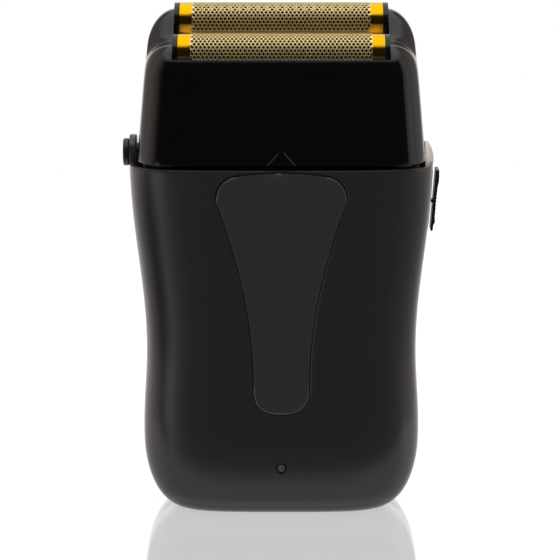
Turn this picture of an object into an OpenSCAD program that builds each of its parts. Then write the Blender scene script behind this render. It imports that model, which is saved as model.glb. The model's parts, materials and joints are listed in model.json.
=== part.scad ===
// Palm-size foil shaver with two stepped foils, built the way it comes apart on a bench.
// Millimetres, +Z up, the front faces -Y, the origin is the middle of the flat base.

/* [Body] */
// Height of the body rim below the head
rim_z = 76.8; // [75:0.1:80]
// Width of the body at the rim
rim_width = 65.2; // [64:0.1:68]
// Depth of the body at the rim
rim_depth = 31; // [30:0.1:33]
// Height of the waist
waist_z = 36; // [32:0.5:40]
// Width at the waist
waist_width = 58.7; // [58:0.1:61]
// Depth at the waist
waist_depth = 29.6; // [29:0.1:31]
// Height of the fullest part of the foot
foot_z = 18; // [16:0.5:22]
// Width at the foot
foot_width = 60.2; // [59:0.1:62]
// Depth at the foot
foot_depth = 30.6; // [30:0.1:32]
// Width of the flat underside
base_width = 40; // [34:0.5:44]
// Depth of the flat underside
base_depth = 20; // [16:0.5:22]
// Height over which the sides round under
side_round = 17; // [13:0.5:19]
// Height over which the front and back round under
face_round = 6; // [4:0.5:8]
// Squareness of the body's cross-section
section_power = 4.2; // [3.8:0.1:5]
// Thickness of the body wall
wall = 2.5; // [2.3:0.1:2.8]
// Thickness of the body floor
floor_t = 2.4; // [2:0.1:3]

/* [Inlay] */
// Height of the inlay's lower edge
inlay_low_z = 23.3; // [20:0.1:28]
// Height of the inlay's upper edge
inlay_high_z = 75.8; // [73:0.1:76]
// Width of the inlay's foot
inlay_low_width = 11.8; // [10:0.2:14]
// Width of the inlay below its upper corners
inlay_high_width = 27.6; // [24:0.2:30]
// Radius of the lower corners
inlay_corner = 4.6; // [3:0.1:4.9]
// Thickness of the inlay at the waist
inlay_t = 0.8; // [0.6:0.05:1]
// How far the inlay stands proud of the body
inlay_proud = 0.25; // [0.1:0.05:0.4]

/* [Head] */
// How far each side of the head stands in from the rim
head_inset = 1.75; // [1.7:0.05:2.2]
// How far the front and back of the head stand in from the rim
head_inset_deep = 1.3; // [1:0.05:1.5]
// Open line between the rim and the head
seam_gap = 0.8; // [0.5:0.05:1.2]
// Thickness of the head wall
head_wall = 1.6; // [1.4:0.05:1.8]
// How far the head's sides lean in per millimetre of height
head_draft = 0.09; // [0.08:0.002:0.11]
// Radius of the cheeks beside the foils
cheek_r = 5.9; // [5.8:0.05:6.2]
// Height that the cheeks lose towards the ends
shoulder_drop = 7; // [5:0.25:8]

/* [Foils] */
// Outer radius of a foil
foil_r = 4.3; // [4.1:0.05:4.4]
// Thickness of a foil
foil_t = 0.25; // [0.2:0.01:0.3]
// How far each end of a foil stands in from the rim
foil_end = 10.4; // [10:0.1:11.5]
// Distance between the two foil axes, as a share of the rim's depth
pitch_share = 0.4; // [0.394:0.002:0.406]
// Height of the front foil's axis above the rim
foil_rise = 23.1; // [22:0.1:25]
// How much higher the rear foil stands
foil_step = 5.3; // [4:0.1:6]
// Thickness of the end walls of a foil frame
cap_t = 1; // [0.8:0.05:1.2]
// How far a foil floats down
foil_travel = 1.2; // [0.6:0.1:1.2]

/* [Cutters] */
// How far each end of a cutter stands in from the end of its foil
cutter_end = 1.7; // [1.6:0.1:4]
// Thickness of the blade arch
cutter_t = 1.25; // [1:0.05:1.5]
// Number of slots in a cutter
cutter_slots = 20; // [12:1:22]
// Width of a slot
slot_w = 0.9; // [0.6:0.05:1.1]
// Travel of the cutters to either side
stroke = 1.2; // [0.8:0.05:1.3]
// Radius of the drive posts
post_r = 2; // [1.8:0.05:2.2]
// Radius of the drive pins, the shaft and the guide rods
pin_r = 1; // [0.9:0.05:1.1]

/* [Power] */
// Width of the motor
motor_width = 20; // [18:0.2:21]
// Depth across the motor's flats
motor_depth = 15; // [14:0.2:16]
// Length of the motor
motor_length = 25; // [22:0.2:26]
// Diameter of the battery cell
cell_d = 14; // [12:0.1:14.4]
// Length of the battery cell
cell_length = 50; // [44:0.5:50]
// Width of the charging port
port_width = 8.9; // [8:0.1:9.5]
// Height of the charging port
port_height = 3.2; // [2.8:0.1:3.4]

/* [Controls] */
// Radius of the release button
button_r = 2.95; // [2.6:0.05:3.1]
// How far the release button presses in
button_travel = 1.1; // [0.8:0.05:1.15]
// Radius of the collar and the ear
ear_r = 3.85; // [3.6:0.05:4]
// Length of the slide switch
switch_length = 14.1; // [12:0.1:15]
// Travel of the slide switch
switch_travel = 4; // [3:0.1:4.5]
// Radius of the charge light
lens_r = 0.95; // [0.7:0.05:1.1]

/* [Hidden] */
$fn = 48;

// Clearances
run_gap = 0.06;
seat_gap = 0.1;
slide_gap = 0.2;
part_gap = 0.3;

// Body form
ring_sides = 48;
round_power = 2.2;
round_steps = 6;
rise_steps = 10;
levels = concat(
    [for (i = [0 : round_steps]) side_round * (1 - pow(cos(90 * i / round_steps), 2 / round_power))],
    [for (i = [1 : rise_steps]) side_round + (rim_z - side_round) * i / rise_steps]);

// Fasteners
screw_r = 1;
screw_head_r = 1.9;
boss_r = 3;
upper_screw = [rim_width / 2 - 13.1, rim_z - 9.8];
lower_screw = [base_width / 2 - 6, floor_t + 4];
screw_floor_y = 8;
screw_len = 16;

// Drive stack, from the head's axes down
front_axis_z = rim_z + foil_rise;
rear_axis_z = front_axis_z + foil_step;
axis_y = pitch_share * rim_depth / 2;
deck_top_z = rim_z - 1.6;
deck_t = 2.8;
deck_low_z = deck_top_z - deck_t;
plate_top_z = deck_low_z - 1.6;
plate_t = 3;
plate_low_z = plate_top_z - plate_t;
cradle_post = 1.6;
plate_x = upper_screw[0] - boss_r - 2 * (part_gap + cradle_post) - stroke;
plate_y = 10.5;
rod_y = 8.5;
rod_z = plate_top_z - plate_t / 2;
cradle_t = 2;
hub_h = 2.4;
hub_r = 3.4;
cradle_top_z = plate_low_z - hub_h - 0.9;
motor_top_z = cradle_top_z - cradle_t;
motor_low_z = motor_top_z - motor_length;
bell_t = 2;
can_t = 0.8;
cradle_post_x = plate_x + stroke + part_gap + cradle_post;

// Head form
head_z = rim_z + seam_gap;
head_x = rim_width / 2 - head_inset;
head_y = rim_depth / 2 - head_inset_deep;
front_hump_z = front_axis_z - 3.7;
rear_hump_z = rear_axis_z - 2.9;
hump_steps = 12;
rise_slope = 45;
hollow_steps = 6;
crest_flat = 1;
shoulder_run = 5.6;
shoulder_steps = 6;
end_narrowing = 0.655;
head_top_x = head_x - head_draft * (front_hump_z + cheek_r - head_z);
shoulder_start = 1 - shoulder_run / head_top_x;
shoulder_share = shoulder_drop / (rear_hump_z + cheek_r - head_z);
face_lean = (head_y - axis_y - cheek_r) / (front_hump_z - head_z);
lip_drop = 0.6;
ledge_drop = 2.8;
foil_x = rim_width / 2 - foil_end;
cap_x = foil_x + cap_t;
window_x = cap_x + 0.4;
slot_y = foil_r + slide_gap;
flange_x = cap_x + 1.1;
flange_y = foil_r + 0.65;
flange_t = 2;
flange_drop = ledge_drop + 0.05;
skirt_drop = flange_drop + 1.75;
pocket_x = flange_x + slide_gap;
pocket_y = flange_y + 0.15;
head_roof_z = front_hump_z - 4.2;
spigot_gap = 0.45;
spigot_h = 4.4;
spigot_t = 1.4;
seal_w = 0.4;
seal_h = 0.7;

// Cutters and their drive
cutter_r = foil_r - foil_t - slide_gap;
spine_t = 1;
cutter_x = foil_x - cutter_end;
rail_drop = 0.4;
bar_drop = 3.2;
bar_t = 2;
hub_drop = 6;
bore_drop = 1.8;
pin_drop = bore_drop + foil_travel + slide_gap;
seat_drop = hub_drop + 4.4;
spring_wire = 0.2;

// Retainers in the head
retainer_t = 1.5;
retainer_z = head_roof_z - 5.1;
retainer_x = cutter_x + stroke + part_gap;
retainer_end_x = head_x - head_wall - head_draft * (retainer_z - head_z) - 1;
float_spring_len = 4.5;
float_spring_x = cap_x;
float_spring_r = 0.7;
spring_post = float_spring_r + spring_wire + 0.05;
retainer_rim = 1.7;
retainer_boss_r = 1.9;
retainer_screw_x = retainer_end_x - retainer_rim;
retainer_screw_y = 2.4;

// Battery, board and port
cell_r = cell_d / 2;
cell_x = wall + cell_r + 0.85 - waist_width / 2;
cell_low_z = lower_screw[1] + boss_r + 1.6;
tab_t = 0.3;
rib_t = 1.6;
rib_z = [cell_low_z + 9, cell_low_z + cell_length - 11];
board_t = 1.6;
board_screw_bite = 4.5;
board_y = port_height / 2;
board_left_x = cell_x + cell_r + 1.5;
board_right_x = foot_width / 2 - 4.1;
board_low_z = lower_screw[1] + boss_r + 2.6;
board_top_z = motor_low_z - bell_t - 1.5;
arm_left_x = cradle_post_x + cradle_post + part_gap;
arm_right_x = rim_width / 2 - 6.6;
arm_low_z = rim_z - 16.5;
arm_top_z = rim_z - 5.8;
tongue_x = 5.5;
board_screw_spots = [[3, board_top_z - 6], [20, board_low_z + 8]];
lens_z = 11.1;
port_depth = 7.3;
port_wall = 0.3;

// Controls
button_z = rim_z + 1.1;
tab_z = rim_z - 0.4;
ear_in_x = head_x + part_gap;
ear_out_x = rim_width / 2 + 0.12;
ear_dome_r = 1.6 * ear_r;
tenon_t = 1.1;
tenon_x = rim_width / 2 - wall / 2 - tenon_t / 2;
tenon_y = 2.6;
tenon_depth = 2.5;
cap_out_x = rim_width / 2 + 1.5;
cap_in_x = rim_width / 2 + 0.3;
stem_r = button_r - 0.95;
latch_x = head_x - head_wall - spigot_gap - spigot_t - 0.7;
latch_t = 0.7;
latch_y = 3.5;
latch_nose_z = button_z + 3.7;
latch_top_z = latch_nose_z + 2.4;
switch_z = rim_z - 9.5;
switch_lean = 4.5;
switch_y = 3.2;
switch_gap = 0.3;
stem_y = 1.2;
stem_z = 1.5;
shoe_in = wall + 0.6;
shoe_t = 1.2;
finger_in = shoe_in + shoe_t + 1.4;

function ease(t) = (1 - cos(180 * t)) / 2;
function swell(z, rim, waist, foot) = z > waist_z
    ? waist + (rim - waist) * ease(min(1, (z - waist_z) / (rim_z - waist_z)))
    : waist + (foot - waist) * ease(min(1, (waist_z - z) / (waist_z - foot_z)));
function tuck(z, h, run) = z >= h ? 0
    : run * (1 - pow(1 - pow(1 - z / h, round_power), 1 / round_power));
function half_w(z) = swell(z, rim_width, waist_width, foot_width) / 2
    - tuck(z, side_round, (foot_width - base_width) / 2);
function half_d(z) = swell(z, rim_depth, waist_depth, foot_depth) / 2
    - tuck(z, face_round, (foot_depth - base_depth) / 2);
function room_w(z) = half_w(max(0, z - floor_t)) - wall;
function room_d(z) = half_d(max(0, z - floor_t)) - wall;
function squared(v) = sign(v) * pow(abs(v), 2 / section_power);
function outline(w, d) = [for (i = [0 : ring_sides - 1]) let (a = 360 * i / ring_sides)
    [w * squared(cos(a)), d * squared(sin(a))]];
function half_outline(w, d, start) = [for (i = [0 : ring_sides / 2])
    let (a = start + 360 * i / ring_sides) [w * squared(cos(a)), d * squared(sin(a))]];
function at_z(points, z) = [for (p = points) [p[0], p[1], z]];
function face_y(x, z) = half_d(z) * pow(1 - pow(abs(x) / half_w(z), section_power), 1 / section_power);
function arc(c, r, from, to, steps) = [for (i = [0 : steps]) let (a = from + (to - from) * i / steps)
    [c[0] + r * cos(a), c[1] + r * sin(a)]];
function unit(v) = v / norm(v);
function tangent(path, i) = unit(path[min(len(path) - 1, i + 1)] - path[max(0, i - 1)]);
function tube_rings(path, r, sides, up) = [for (i = [0 : len(path) - 1])
    let (t = tangent(path, i), n = unit(cross(t, up)), b = cross(t, n))
    [for (k = [0 : sides - 1]) path[i] + r * (n * cos(360 * k / sides) + b * sin(360 * k / sides))]];

// Solid through a row of rings, each seen anticlockwise from the far end
module loft(rings) {
    n = len(rings[0]);
    last = (len(rings) - 1) * n;
    polyhedron(
        points = [for (ring = rings) for (p = ring) p],
        faces = concat(
            [[for (i = [0 : n - 1]) i]],
            [[for (i = [0 : n - 1]) last + n - 1 - i]],
            [for (k = [0 : len(rings) - 2]) for (i = [0 : n - 1]) let (j = (i + 1) % n)
                each [[k * n + i, (k + 1) * n + i, (k + 1) * n + j],
                      [k * n + i, (k + 1) * n + j, k * n + j]]]));
}

module box(low, high) {
    translate(low) cube(high - low);
}

module x_rod(r, from, to, y, z) {
    translate([from, y, z]) rotate([0, 90, 0]) cylinder(r = r, h = to - from);
}

module y_rod(r, from, to, x, z) {
    translate([x, from, z]) rotate([-90, 0, 0]) cylinder(r = r, h = to - from);
}

module z_rod(r, from, to, x, y) {
    translate([x, y, from]) cylinder(r = r, h = to - from);
}

// Upright block with round ends, long along X
module slot_block(reach, r, from, to, y) {
    z_rod(r, from, to, -reach, y);
    z_rod(r, from, to, reach, y);
    box([-reach, y - r, from], [reach, y + r, to]);
}

module coil(r, wire, from, to, turns, x, y) {
    rise = to - from - 2 * wire;
    path = [for (i = [0 : 8 * turns]) [x + r * cos(45 * i), y + r * sin(45 * i),
        from + wire + rise * i / (8 * turns)]];
    loft(tube_rings(path, wire, 6, [0, 0, 1]));
}

module lead(path, r) {
    loft(tube_rings(path, r, 8, [1, 0.3, 0.2]));
}

// Body halves

module room() {
    loft([for (z = levels) at_z(outline(half_w(z) - wall, half_d(z) - wall), z + floor_t)]);
}

// Ring of ledge along the inside of the wall, on one side of the split
module ledge(from, to, side) {
    reach = 1;
    intersection() {
        difference() {
            translate([0, 0, from])
                linear_extrude(to - from)
                    polygon(outline(room_w(from) + wall / 2, room_d(from) + wall / 2));
            translate([0, 0, from - 1])
                linear_extrude(to - from + 2) polygon(outline(room_w(from) - reach, room_d(from) - reach));
        }
        box([-rim_width, min(0, side * rim_depth), from - 1], [rim_width, max(0, side * rim_depth), to + 1]);
    }
}

// Rib that holds the battery cell on one side of the split
module cell_rib(z, side) {
    near = side * 2;
    difference() {
        intersection() {
            translate([0, 0, z])
                linear_extrude(rib_t) polygon(outline(half_w(z) - wall / 2, half_d(z) - wall / 2));
            box([cell_x - cell_r - 1, min(near, side * rim_depth), z - 1],
                [cell_x + cell_r, max(near, side * rim_depth), z + rib_t + 1]);
        }
        z_rod(cell_r + seat_gap, z - 1, z + rib_t + 1, cell_x, 0);
    }
}

// Room for the collar, the ear, the button stem, the switch and the port, on the split
module split_cuts() {
    x_rod(ear_r + seat_gap / 2, -rim_width, -ear_in_x + slide_gap, 0, button_z);
    x_rod(ear_r + seat_gap / 2, ear_in_x - slide_gap, rim_width, 0, tab_z);
    x_rod(stem_r + part_gap, -rim_width, 0, 0, button_z);
    for (side = [-1, 1])
        box([side * (tenon_x + tenon_t / 2) - tenon_t / 2 - seat_gap / 2, -tenon_y - seat_gap / 2,
                (side < 0 ? button_z : tab_z) - ear_r - tenon_depth - seat_gap / 2],
            [side * (tenon_x + tenon_t / 2) + tenon_t / 2 + seat_gap / 2, tenon_y + seat_gap / 2, rim_z + 1]);
    switch_frame()
        box([-2 * wall, -stem_y - part_gap, -stem_z - switch_travel - part_gap],
            [wall, stem_y + part_gap, stem_z + part_gap]);
    port_block(seat_gap, -1, floor_t + 1);
    translate([0, 0, deck_top_z])
        linear_extrude(rim_z - deck_top_z + 1) polygon(spigot_outline(-seal_w - seat_gap));
}

module front_housing() {
    color("#262626")
    difference() {
        union() {
            difference() {
                loft([for (z = levels) at_z(half_outline(half_w(z), half_d(z), 180), z)]);
                room();
            }
            for (side = [-1, 1]) {
                y_rod(boss_r - 0.4, -face_y(upper_screw[0], upper_screw[1]) + wall / 2, -seat_gap,
                    side * upper_screw[0], upper_screw[1]);
                y_rod(boss_r - 0.4, -face_y(lower_screw[0], lower_screw[1]) + wall / 2, -seat_gap,
                    side * lower_screw[0], lower_screw[1]);
            }
            for (z = rib_z)
                cell_rib(z, -1);
            ledge(deck_low_z - 1.2, deck_low_z, -1);
            ledge(deck_top_z, deck_top_z + 0.8, -1);
        }
        for (side = [-1, 1], spot = [upper_screw, lower_screw])
            y_rod(screw_r, screw_floor_y - screw_len - 0.5, 1, side * spot[0], spot[1]);
        inlay_block(slide_gap, inlay_t + rim_depth);
        y_rod(lens_r + run_gap, -rim_depth, 0, 0, lens_z);
        split_cuts();
    }
}

module rear_housing() {
    color("#242424")
    difference() {
        union() {
            difference() {
                loft([for (z = levels) at_z(half_outline(half_w(z), half_d(z), 0), z)]);
                room();
            }
            for (side = [-1, 1]) {
                y_rod(boss_r, seat_gap, face_y(upper_screw[0], upper_screw[1]) - wall / 2,
                    side * upper_screw[0], upper_screw[1]);
                y_rod(boss_r, seat_gap, face_y(lower_screw[0], lower_screw[1]) - wall / 2,
                    side * lower_screw[0], lower_screw[1]);
            }
            for (spot = board_screw_spots)
                y_rod(boss_r - 0.8, board_y + board_t, face_y(spot[0], spot[1]) - wall / 2, spot[0], spot[1]);
            for (z = rib_z)
                cell_rib(z, 1);
            ledge(deck_low_z - 1.2, deck_low_z, 1);
            ledge(deck_top_z, deck_top_z + 0.8, 1);
        }
        for (side = [-1, 1], spot = [upper_screw, lower_screw]) {
            y_rod(screw_r + seat_gap, -1, screw_floor_y + 1, side * spot[0], spot[1]);
            y_rod(screw_head_r + seat_gap, screw_floor_y, rim_depth, side * spot[0], spot[1]);
        }
        for (spot = board_screw_spots)
            y_rod(screw_r - 0.2, board_y, board_y + board_t + board_screw_bite + 0.5, spot[0], spot[1]);
        split_cuts();
    }
}

module housing_screws() {
    color("#6b6b6e")
    for (side = [-1, 1], spot = [upper_screw, lower_screw])
        difference() {
            union() {
                y_rod(screw_head_r, screw_floor_y, screw_floor_y + 1.6, side * spot[0], spot[1]);
                y_rod(screw_r, screw_floor_y - screw_len, screw_floor_y, side * spot[0], spot[1]);
            }
            for (turn = [0, 90])
                translate([side * spot[0], screw_floor_y + 1.6, spot[1]])
                    rotate([0, turn, 0]) cube([2.2, 1.4, 0.5], center = true);
        }
}

// Inlay

function inlay_wide_z() = inlay_high_z - 5.8;
function inlay_half(z) = let (low_z = inlay_low_z + 6.5)
    inlay_low_width / 2 + (inlay_high_width - inlay_low_width) / 2
    * pow(max(0, z - low_z) / (inlay_wide_z() - low_z), 1.9);

// Right-hand edge of the inlay from its foot to the middle of its top, grown by g
function inlay_edge(g) = let (
        round = [4.4, 5], top_corner = [inlay_high_width / 2 - round[0], inlay_wide_z()], shoulder = 80,
        meet = [top_corner[0] + (round[0] + g) * cos(shoulder),
            top_corner[1] + (round[1] + g) * sin(shoulder)],
        low_z = inlay_low_z + inlay_corner)
    concat(
        arc([inlay_low_width / 2 - inlay_corner, low_z], inlay_corner + g, -90, 0, 6),
        [for (i = [1 : 9]) let (z = low_z + (inlay_wide_z() - low_z) * i / 9) [inlay_half(z) + g, z]],
        [for (i = [1 : 6]) let (a = shoulder * i / 6)
            [top_corner[0] + (round[0] + g) * cos(a), top_corner[1] + (round[1] + g) * sin(a)]],
        [for (i = [1 : 5]) let (x = meet[0] * (1 - i / 5))
            [x, inlay_high_z + g - (inlay_high_z + g - meet[1]) * pow(x / meet[0], 2)]]);

module inlay_block(g, reach) {
    edge = inlay_edge(g);
    mirrored = [for (i = [len(edge) - 2 : -1 : 0]) [-edge[i][0], edge[i][1]]];
    translate([0, inlay_t - min(rim_depth, waist_depth) / 2, 0])
        rotate([90, 0, 0]) linear_extrude(reach) polygon(concat(edge, mirrored));
}

module front_inlay() {
    color("#2c2c2e")
    intersection() {
        inlay_block(0, rim_depth);
        loft([for (i = [0 : 10]) let (z = inlay_low_z - 1 + (inlay_high_z - inlay_low_z + 2) * i / 10)
            at_z(half_outline(half_w(z) + inlay_proud, half_d(z) + inlay_proud, 180), z)]);
    }
}

module indicator_lens() {
    color("#20242c")
    y_rod(lens_r, -half_d(lens_z) - 0.05, board_y - 0.9, 0, lens_z);
}

// Deck under the head

function spigot_outline(inset) = head_plan(head_wall + spigot_gap + inset);

module top_deck() {
    color("#1c1c1e")
    difference() {
        union() {
            translate([0, 0, deck_low_z])
                linear_extrude(deck_t)
                    polygon(outline(room_w(deck_low_z) - seat_gap, room_d(deck_low_z) - seat_gap));
            translate([0, 0, deck_top_z])
                difference() {
                    linear_extrude(spigot_h) polygon(spigot_outline(0));
                    translate([0, 0, -0.5]) linear_extrude(spigot_h + 1) polygon(spigot_outline(spigot_t));
                }
        }
        for (side = [-1, 1])
            slot_block(stroke, post_r + 1.1, deck_low_z - 1, deck_top_z + 1, side * axis_y);
        box([-rim_width, -stem_r - part_gap, button_z], [-latch_x, stem_r + part_gap, rim_z + 2 * spigot_h]);
        x_rod(stem_r + part_gap, -rim_width, -latch_x, 0, button_z);
        deck_screw_spots() {
            z_rod(screw_r, deck_low_z - 1, deck_top_z + 1, 0, 0);
            z_rod(screw_head_r, deck_top_z - 1.2, deck_top_z + 1, 0, 0);
        }
    }
}

module deck_screw_spots() {
    for (x = [-cradle_post_x, cradle_post_x], y = [-rod_y, rod_y])
        translate([x, y, 0]) children();
}

module deck_screws() {
    color("#77777a")
    deck_screw_spots() {
        z_rod(screw_head_r - seat_gap, deck_top_z - 1.2, deck_top_z - 0.1, 0, 0);
        z_rod(screw_r - 0.15, rod_z + pin_r + part_gap, deck_top_z - 1.2, 0, 0);
    }
}

module deck_seal() {
    color("#111111")
    translate([0, 0, deck_top_z])
        difference() {
            linear_extrude(seal_h) polygon(spigot_outline(-seal_w));
            translate([0, 0, -0.5]) linear_extrude(seal_h + 1) polygon(spigot_outline(0));
            translate([0, 0, -deck_top_z]) x_rod(stem_r + part_gap, -rim_width, 0, 0, button_z);
        }
}

module post_seals() {
    color("#151515")
    for (side = [-1, 1])
        difference() {
            slot_block(stroke, post_r + 1.1, deck_low_z, deck_top_z, side * axis_y);
            slot_block(stroke, post_r + slide_gap, deck_low_z - 1, deck_top_z + 1, side * axis_y);
        }
}

// Motor and drive

module motor_cradle() {
    color("#3a3d40")
    difference() {
        union() {
            box([-cradle_post_x - cradle_post, -plate_y, motor_top_z],
                [cradle_post_x + cradle_post, plate_y, cradle_top_z]);
            deck_screw_spots()
                box([-cradle_post, -cradle_post, cradle_top_z - 0.5], [cradle_post, cradle_post, deck_low_z]);
        }
        z_rod(hub_r, motor_top_z - 1, cradle_top_z + 1, 0, 0);
        for (side = [-1, 1]) {
            z_rod(screw_r - 0.15, motor_top_z - 1, cradle_top_z + 1, side * motor_screw_x(), 0);
            x_rod(pin_r, -rim_width, rim_width, side * rod_y, rod_z);
        }
        deck_screw_spots()
            z_rod(screw_r - 0.15, rod_z + pin_r + part_gap, deck_low_z + 1, 0, 0);
    }
}

function motor_screw_x() = motor_width * 0.32;

module motor_screws() {
    color("#77777a")
    for (side = [-1, 1]) {
        z_rod(screw_r + 0.5, cradle_top_z, cradle_top_z + 1, side * motor_screw_x(), 0);
        z_rod(screw_r - 0.15, motor_top_z - 1.5, cradle_top_z, side * motor_screw_x(), 0);
    }
}

// Round body with two flats, grown by g
module motor_block(g, from, to) {
    intersection() {
        z_rod(motor_width / 2 + g, from, to, 0, 0);
        box([-motor_width, -motor_depth / 2 - g, from], [motor_width, motor_depth / 2 + g, to]);
    }
}

module motor_can() {
    color("#8d9094")
    difference() {
        motor_block(0, motor_low_z, motor_top_z);
        motor_block(-can_t, motor_low_z - 1, motor_top_z - 2);
        z_rod(pin_r + run_gap, motor_low_z, motor_top_z + 1, 0, 0);
        for (side = [-1, 1])
            z_rod(screw_r - 0.15, motor_top_z - 1.6, motor_top_z + 1, side * motor_screw_x(), 0);
    }
}

function armature_r() = motor_depth / 2 - can_t - 2 * part_gap;

module motor_magnets() {
    color("#3f3f42")
    for (side = [-1, 1])
        intersection() {
            difference() {
                motor_block(-can_t, motor_low_z + 4, motor_top_z - 4);
                z_rod(armature_r() + part_gap, motor_low_z, motor_top_z, 0, 0);
            }
            box([min(side * motor_width / 5, side * motor_width), -motor_depth, motor_low_z],
                [max(side * motor_width / 5, side * motor_width), motor_depth, motor_top_z]);
        }
}

module motor_end_bell() {
    color("#e4e0d6")
    difference() {
        motor_block(0, motor_low_z - bell_t, motor_low_z);
        z_rod(pin_r + run_gap, motor_low_z - bell_t + 0.8, motor_low_z + 1, 0, 0);
    }
}

module motor_armature() {
    color("#7a4a26")
    difference() {
        union() {
            z_rod(armature_r(), motor_low_z + 6, motor_top_z - 6, 0, 0);
            z_rod(pin_r + 1.4, motor_low_z + 1.5, motor_low_z + 6, 0, 0);
        }
        z_rod(pin_r, motor_low_z, motor_top_z, 0, 0);
        for (turn = [0, 120, 240])
            rotate([0, 0, turn])
                box([pin_r + 2, -0.6, motor_low_z + 5.5], [motor_width, 0.6, motor_top_z]);
    }
}

module motor_shaft() {
    color("#c9ccd0")
    z_rod(pin_r, motor_low_z - bell_t + 0.9, cradle_top_z + hub_h, 0, 0);
}

module eccentric() {
    color("#d8d4c8")
    difference() {
        union() {
            z_rod(hub_r - 0.2, cradle_top_z + 0.4, plate_low_z - 0.5, 0, 0);
            z_rod(pin_r, plate_low_z - 0.6, plate_top_z + 0.4, stroke, 0);
        }
        z_rod(pin_r, cradle_top_z, cradle_top_z + hub_h, 0, 0);
    }
}

module guide_rods() {
    color("#c9ccd0")
    for (side = [-1, 1])
        x_rod(pin_r, -cradle_post_x - cradle_post, cradle_post_x + cradle_post, side * rod_y, rod_z);
}

function axis_z(side) = side < 0 ? front_axis_z : rear_axis_z;

module oscillator() {
    color("#e8e6df")
    difference() {
        union() {
            box([-plate_x, -plate_y, plate_low_z], [plate_x, plate_y, plate_top_z]);
            for (side = [-1, 1]) {
                z_rod(post_r, plate_top_z - 0.5, axis_z(side) - seat_drop, 0, side * axis_y);
                z_rod(pin_r, plate_top_z, axis_z(side) - pin_drop, 0, side * axis_y);
            }
        }
        for (side = [-1, 1])
            x_rod(pin_r + run_gap, -rim_width, rim_width, side * rod_y, rod_z);
        slot_block(2 * stroke, stroke + pin_r + slide_gap, plate_low_z - 1, plate_top_z + 1, 0);
    }
}

module cutter_springs() {
    color("#b9bcc0")
    for (side = [-1, 1])
        coil(pin_r + spring_wire + 0.2, spring_wire, axis_z(side) - seat_drop, axis_z(side) - hub_drop,
            4, 0, side * axis_y);
}

// Cutters

module cutter_carrier(side) {
    top = axis_z(side) - bar_drop + bar_t;
    difference() {
        union() {
            box([-cutter_x, side * axis_y - cutter_r + 0.2, axis_z(side) - bar_drop],
                [cutter_x, side * axis_y + cutter_r - 0.2, top]);
            z_rod(pin_r + 1.2, axis_z(side) - hub_drop, top - 0.5, 0, side * axis_y);
            box([-cutter_x, side * axis_y - spine_t / 2, top - 0.5],
                [cutter_x, side * axis_y + spine_t / 2, axis_z(side) + cutter_r - cutter_t - 0.1]);
        }
        z_rod(pin_r + run_gap, axis_z(side) - hub_drop - 1, axis_z(side) - bore_drop, 0, side * axis_y);
    }
}

module cutter_blades(side) {
    z = axis_z(side);
    y = side * axis_y;
    foot = z - bar_drop + bar_t;
    pitch = (2 * cutter_x - 1) / cutter_slots;
    difference() {
        union() {
            x_rod(cutter_r, -cutter_x, cutter_x, y, z);
            box([-cutter_x, y - cutter_r, foot], [cutter_x, y + cutter_r, z]);
        }
        x_rod(cutter_r - cutter_t, -cutter_x - 1, cutter_x + 1, y, z);
        box([-cutter_x - 1, y - cutter_r + cutter_t, z - 2 * foil_r],
            [cutter_x + 1, y + cutter_r - cutter_t, z]);
        box([-cutter_x - 1, y - 2 * cutter_r, z - 2 * foil_r], [cutter_x + 1, y + 2 * cutter_r, foot]);
        for (i = [0 : cutter_slots - 1])
            translate([(i - (cutter_slots - 1) / 2) * pitch, y, z])
                box([-slot_w / 2, -2 * cutter_r, -rail_drop], [slot_w / 2, 2 * cutter_r, 2 * cutter_r]);
    }
}

module front_cutter_carrier() {
    color("#232326") cutter_carrier(-1);
}

module rear_cutter_carrier() {
    color("#232326") cutter_carrier(1);
}

module front_cutter_blades() {
    color("#b4b7bb") cutter_blades(-1);
}

module rear_cutter_blades() {
    color("#b4b7bb") cutter_blades(1);
}

// Battery, board and port

module battery_cell() {
    color("#3f7f5a")
    union() {
        z_rod(cell_r, cell_low_z, cell_low_z + cell_length - 1, cell_x, 0);
        z_rod(cell_r * 0.4, cell_low_z + cell_length - 1.2, cell_low_z + cell_length, cell_x, 0);
    }
}

module battery_tabs() {
    color("#c4c6c9")
    for (z = [cell_low_z - tab_t, cell_low_z + cell_length])
        z_rod(cell_r - 2, z, z + tab_t, cell_x, 0);
}

module battery_leads() {
    lead_r = 0.5;
    top = cell_low_z + cell_length + tab_t + lead_r;
    low = cell_low_z - tab_t - lead_r;
    color("#8c1f1f")
    union() {
        lead([[cell_x, 0, top], [cell_x + 2, -cell_r, top], [cell_x + cell_r + 1, -cell_r - 2, top - 5],
            [cell_x + cell_r + 2, -cell_r - 2, motor_low_z], [board_left_x + 2, -cell_r + 2, board_top_z],
            [board_left_x + 3, -1, board_top_z - 3], [board_left_x + 3, board_y, board_top_z - 3]], lead_r);
        lead([[cell_x, 0, low], [cell_x + cell_r + 1, -2, low], [board_left_x + 2, -3, board_low_z + 3],
            [board_left_x + 3, -1, board_low_z + 5], [board_left_x + 3, board_y, board_low_z + 5]], lead_r);
    }
}

module motor_leads() {
    lead_r = 0.5;
    low = motor_low_z - bell_t;
    color("#1f3f8c")
    for (side = [-1, 1])
        lead([[side * 5, -1, low], [side * 5, -1, low - 1.5], [side * 5, -1.8, board_top_z - 1.5],
            [side * 5, -1, board_top_z - 3], [side * 5, board_y, board_top_z - 3]], lead_r);
}

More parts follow.
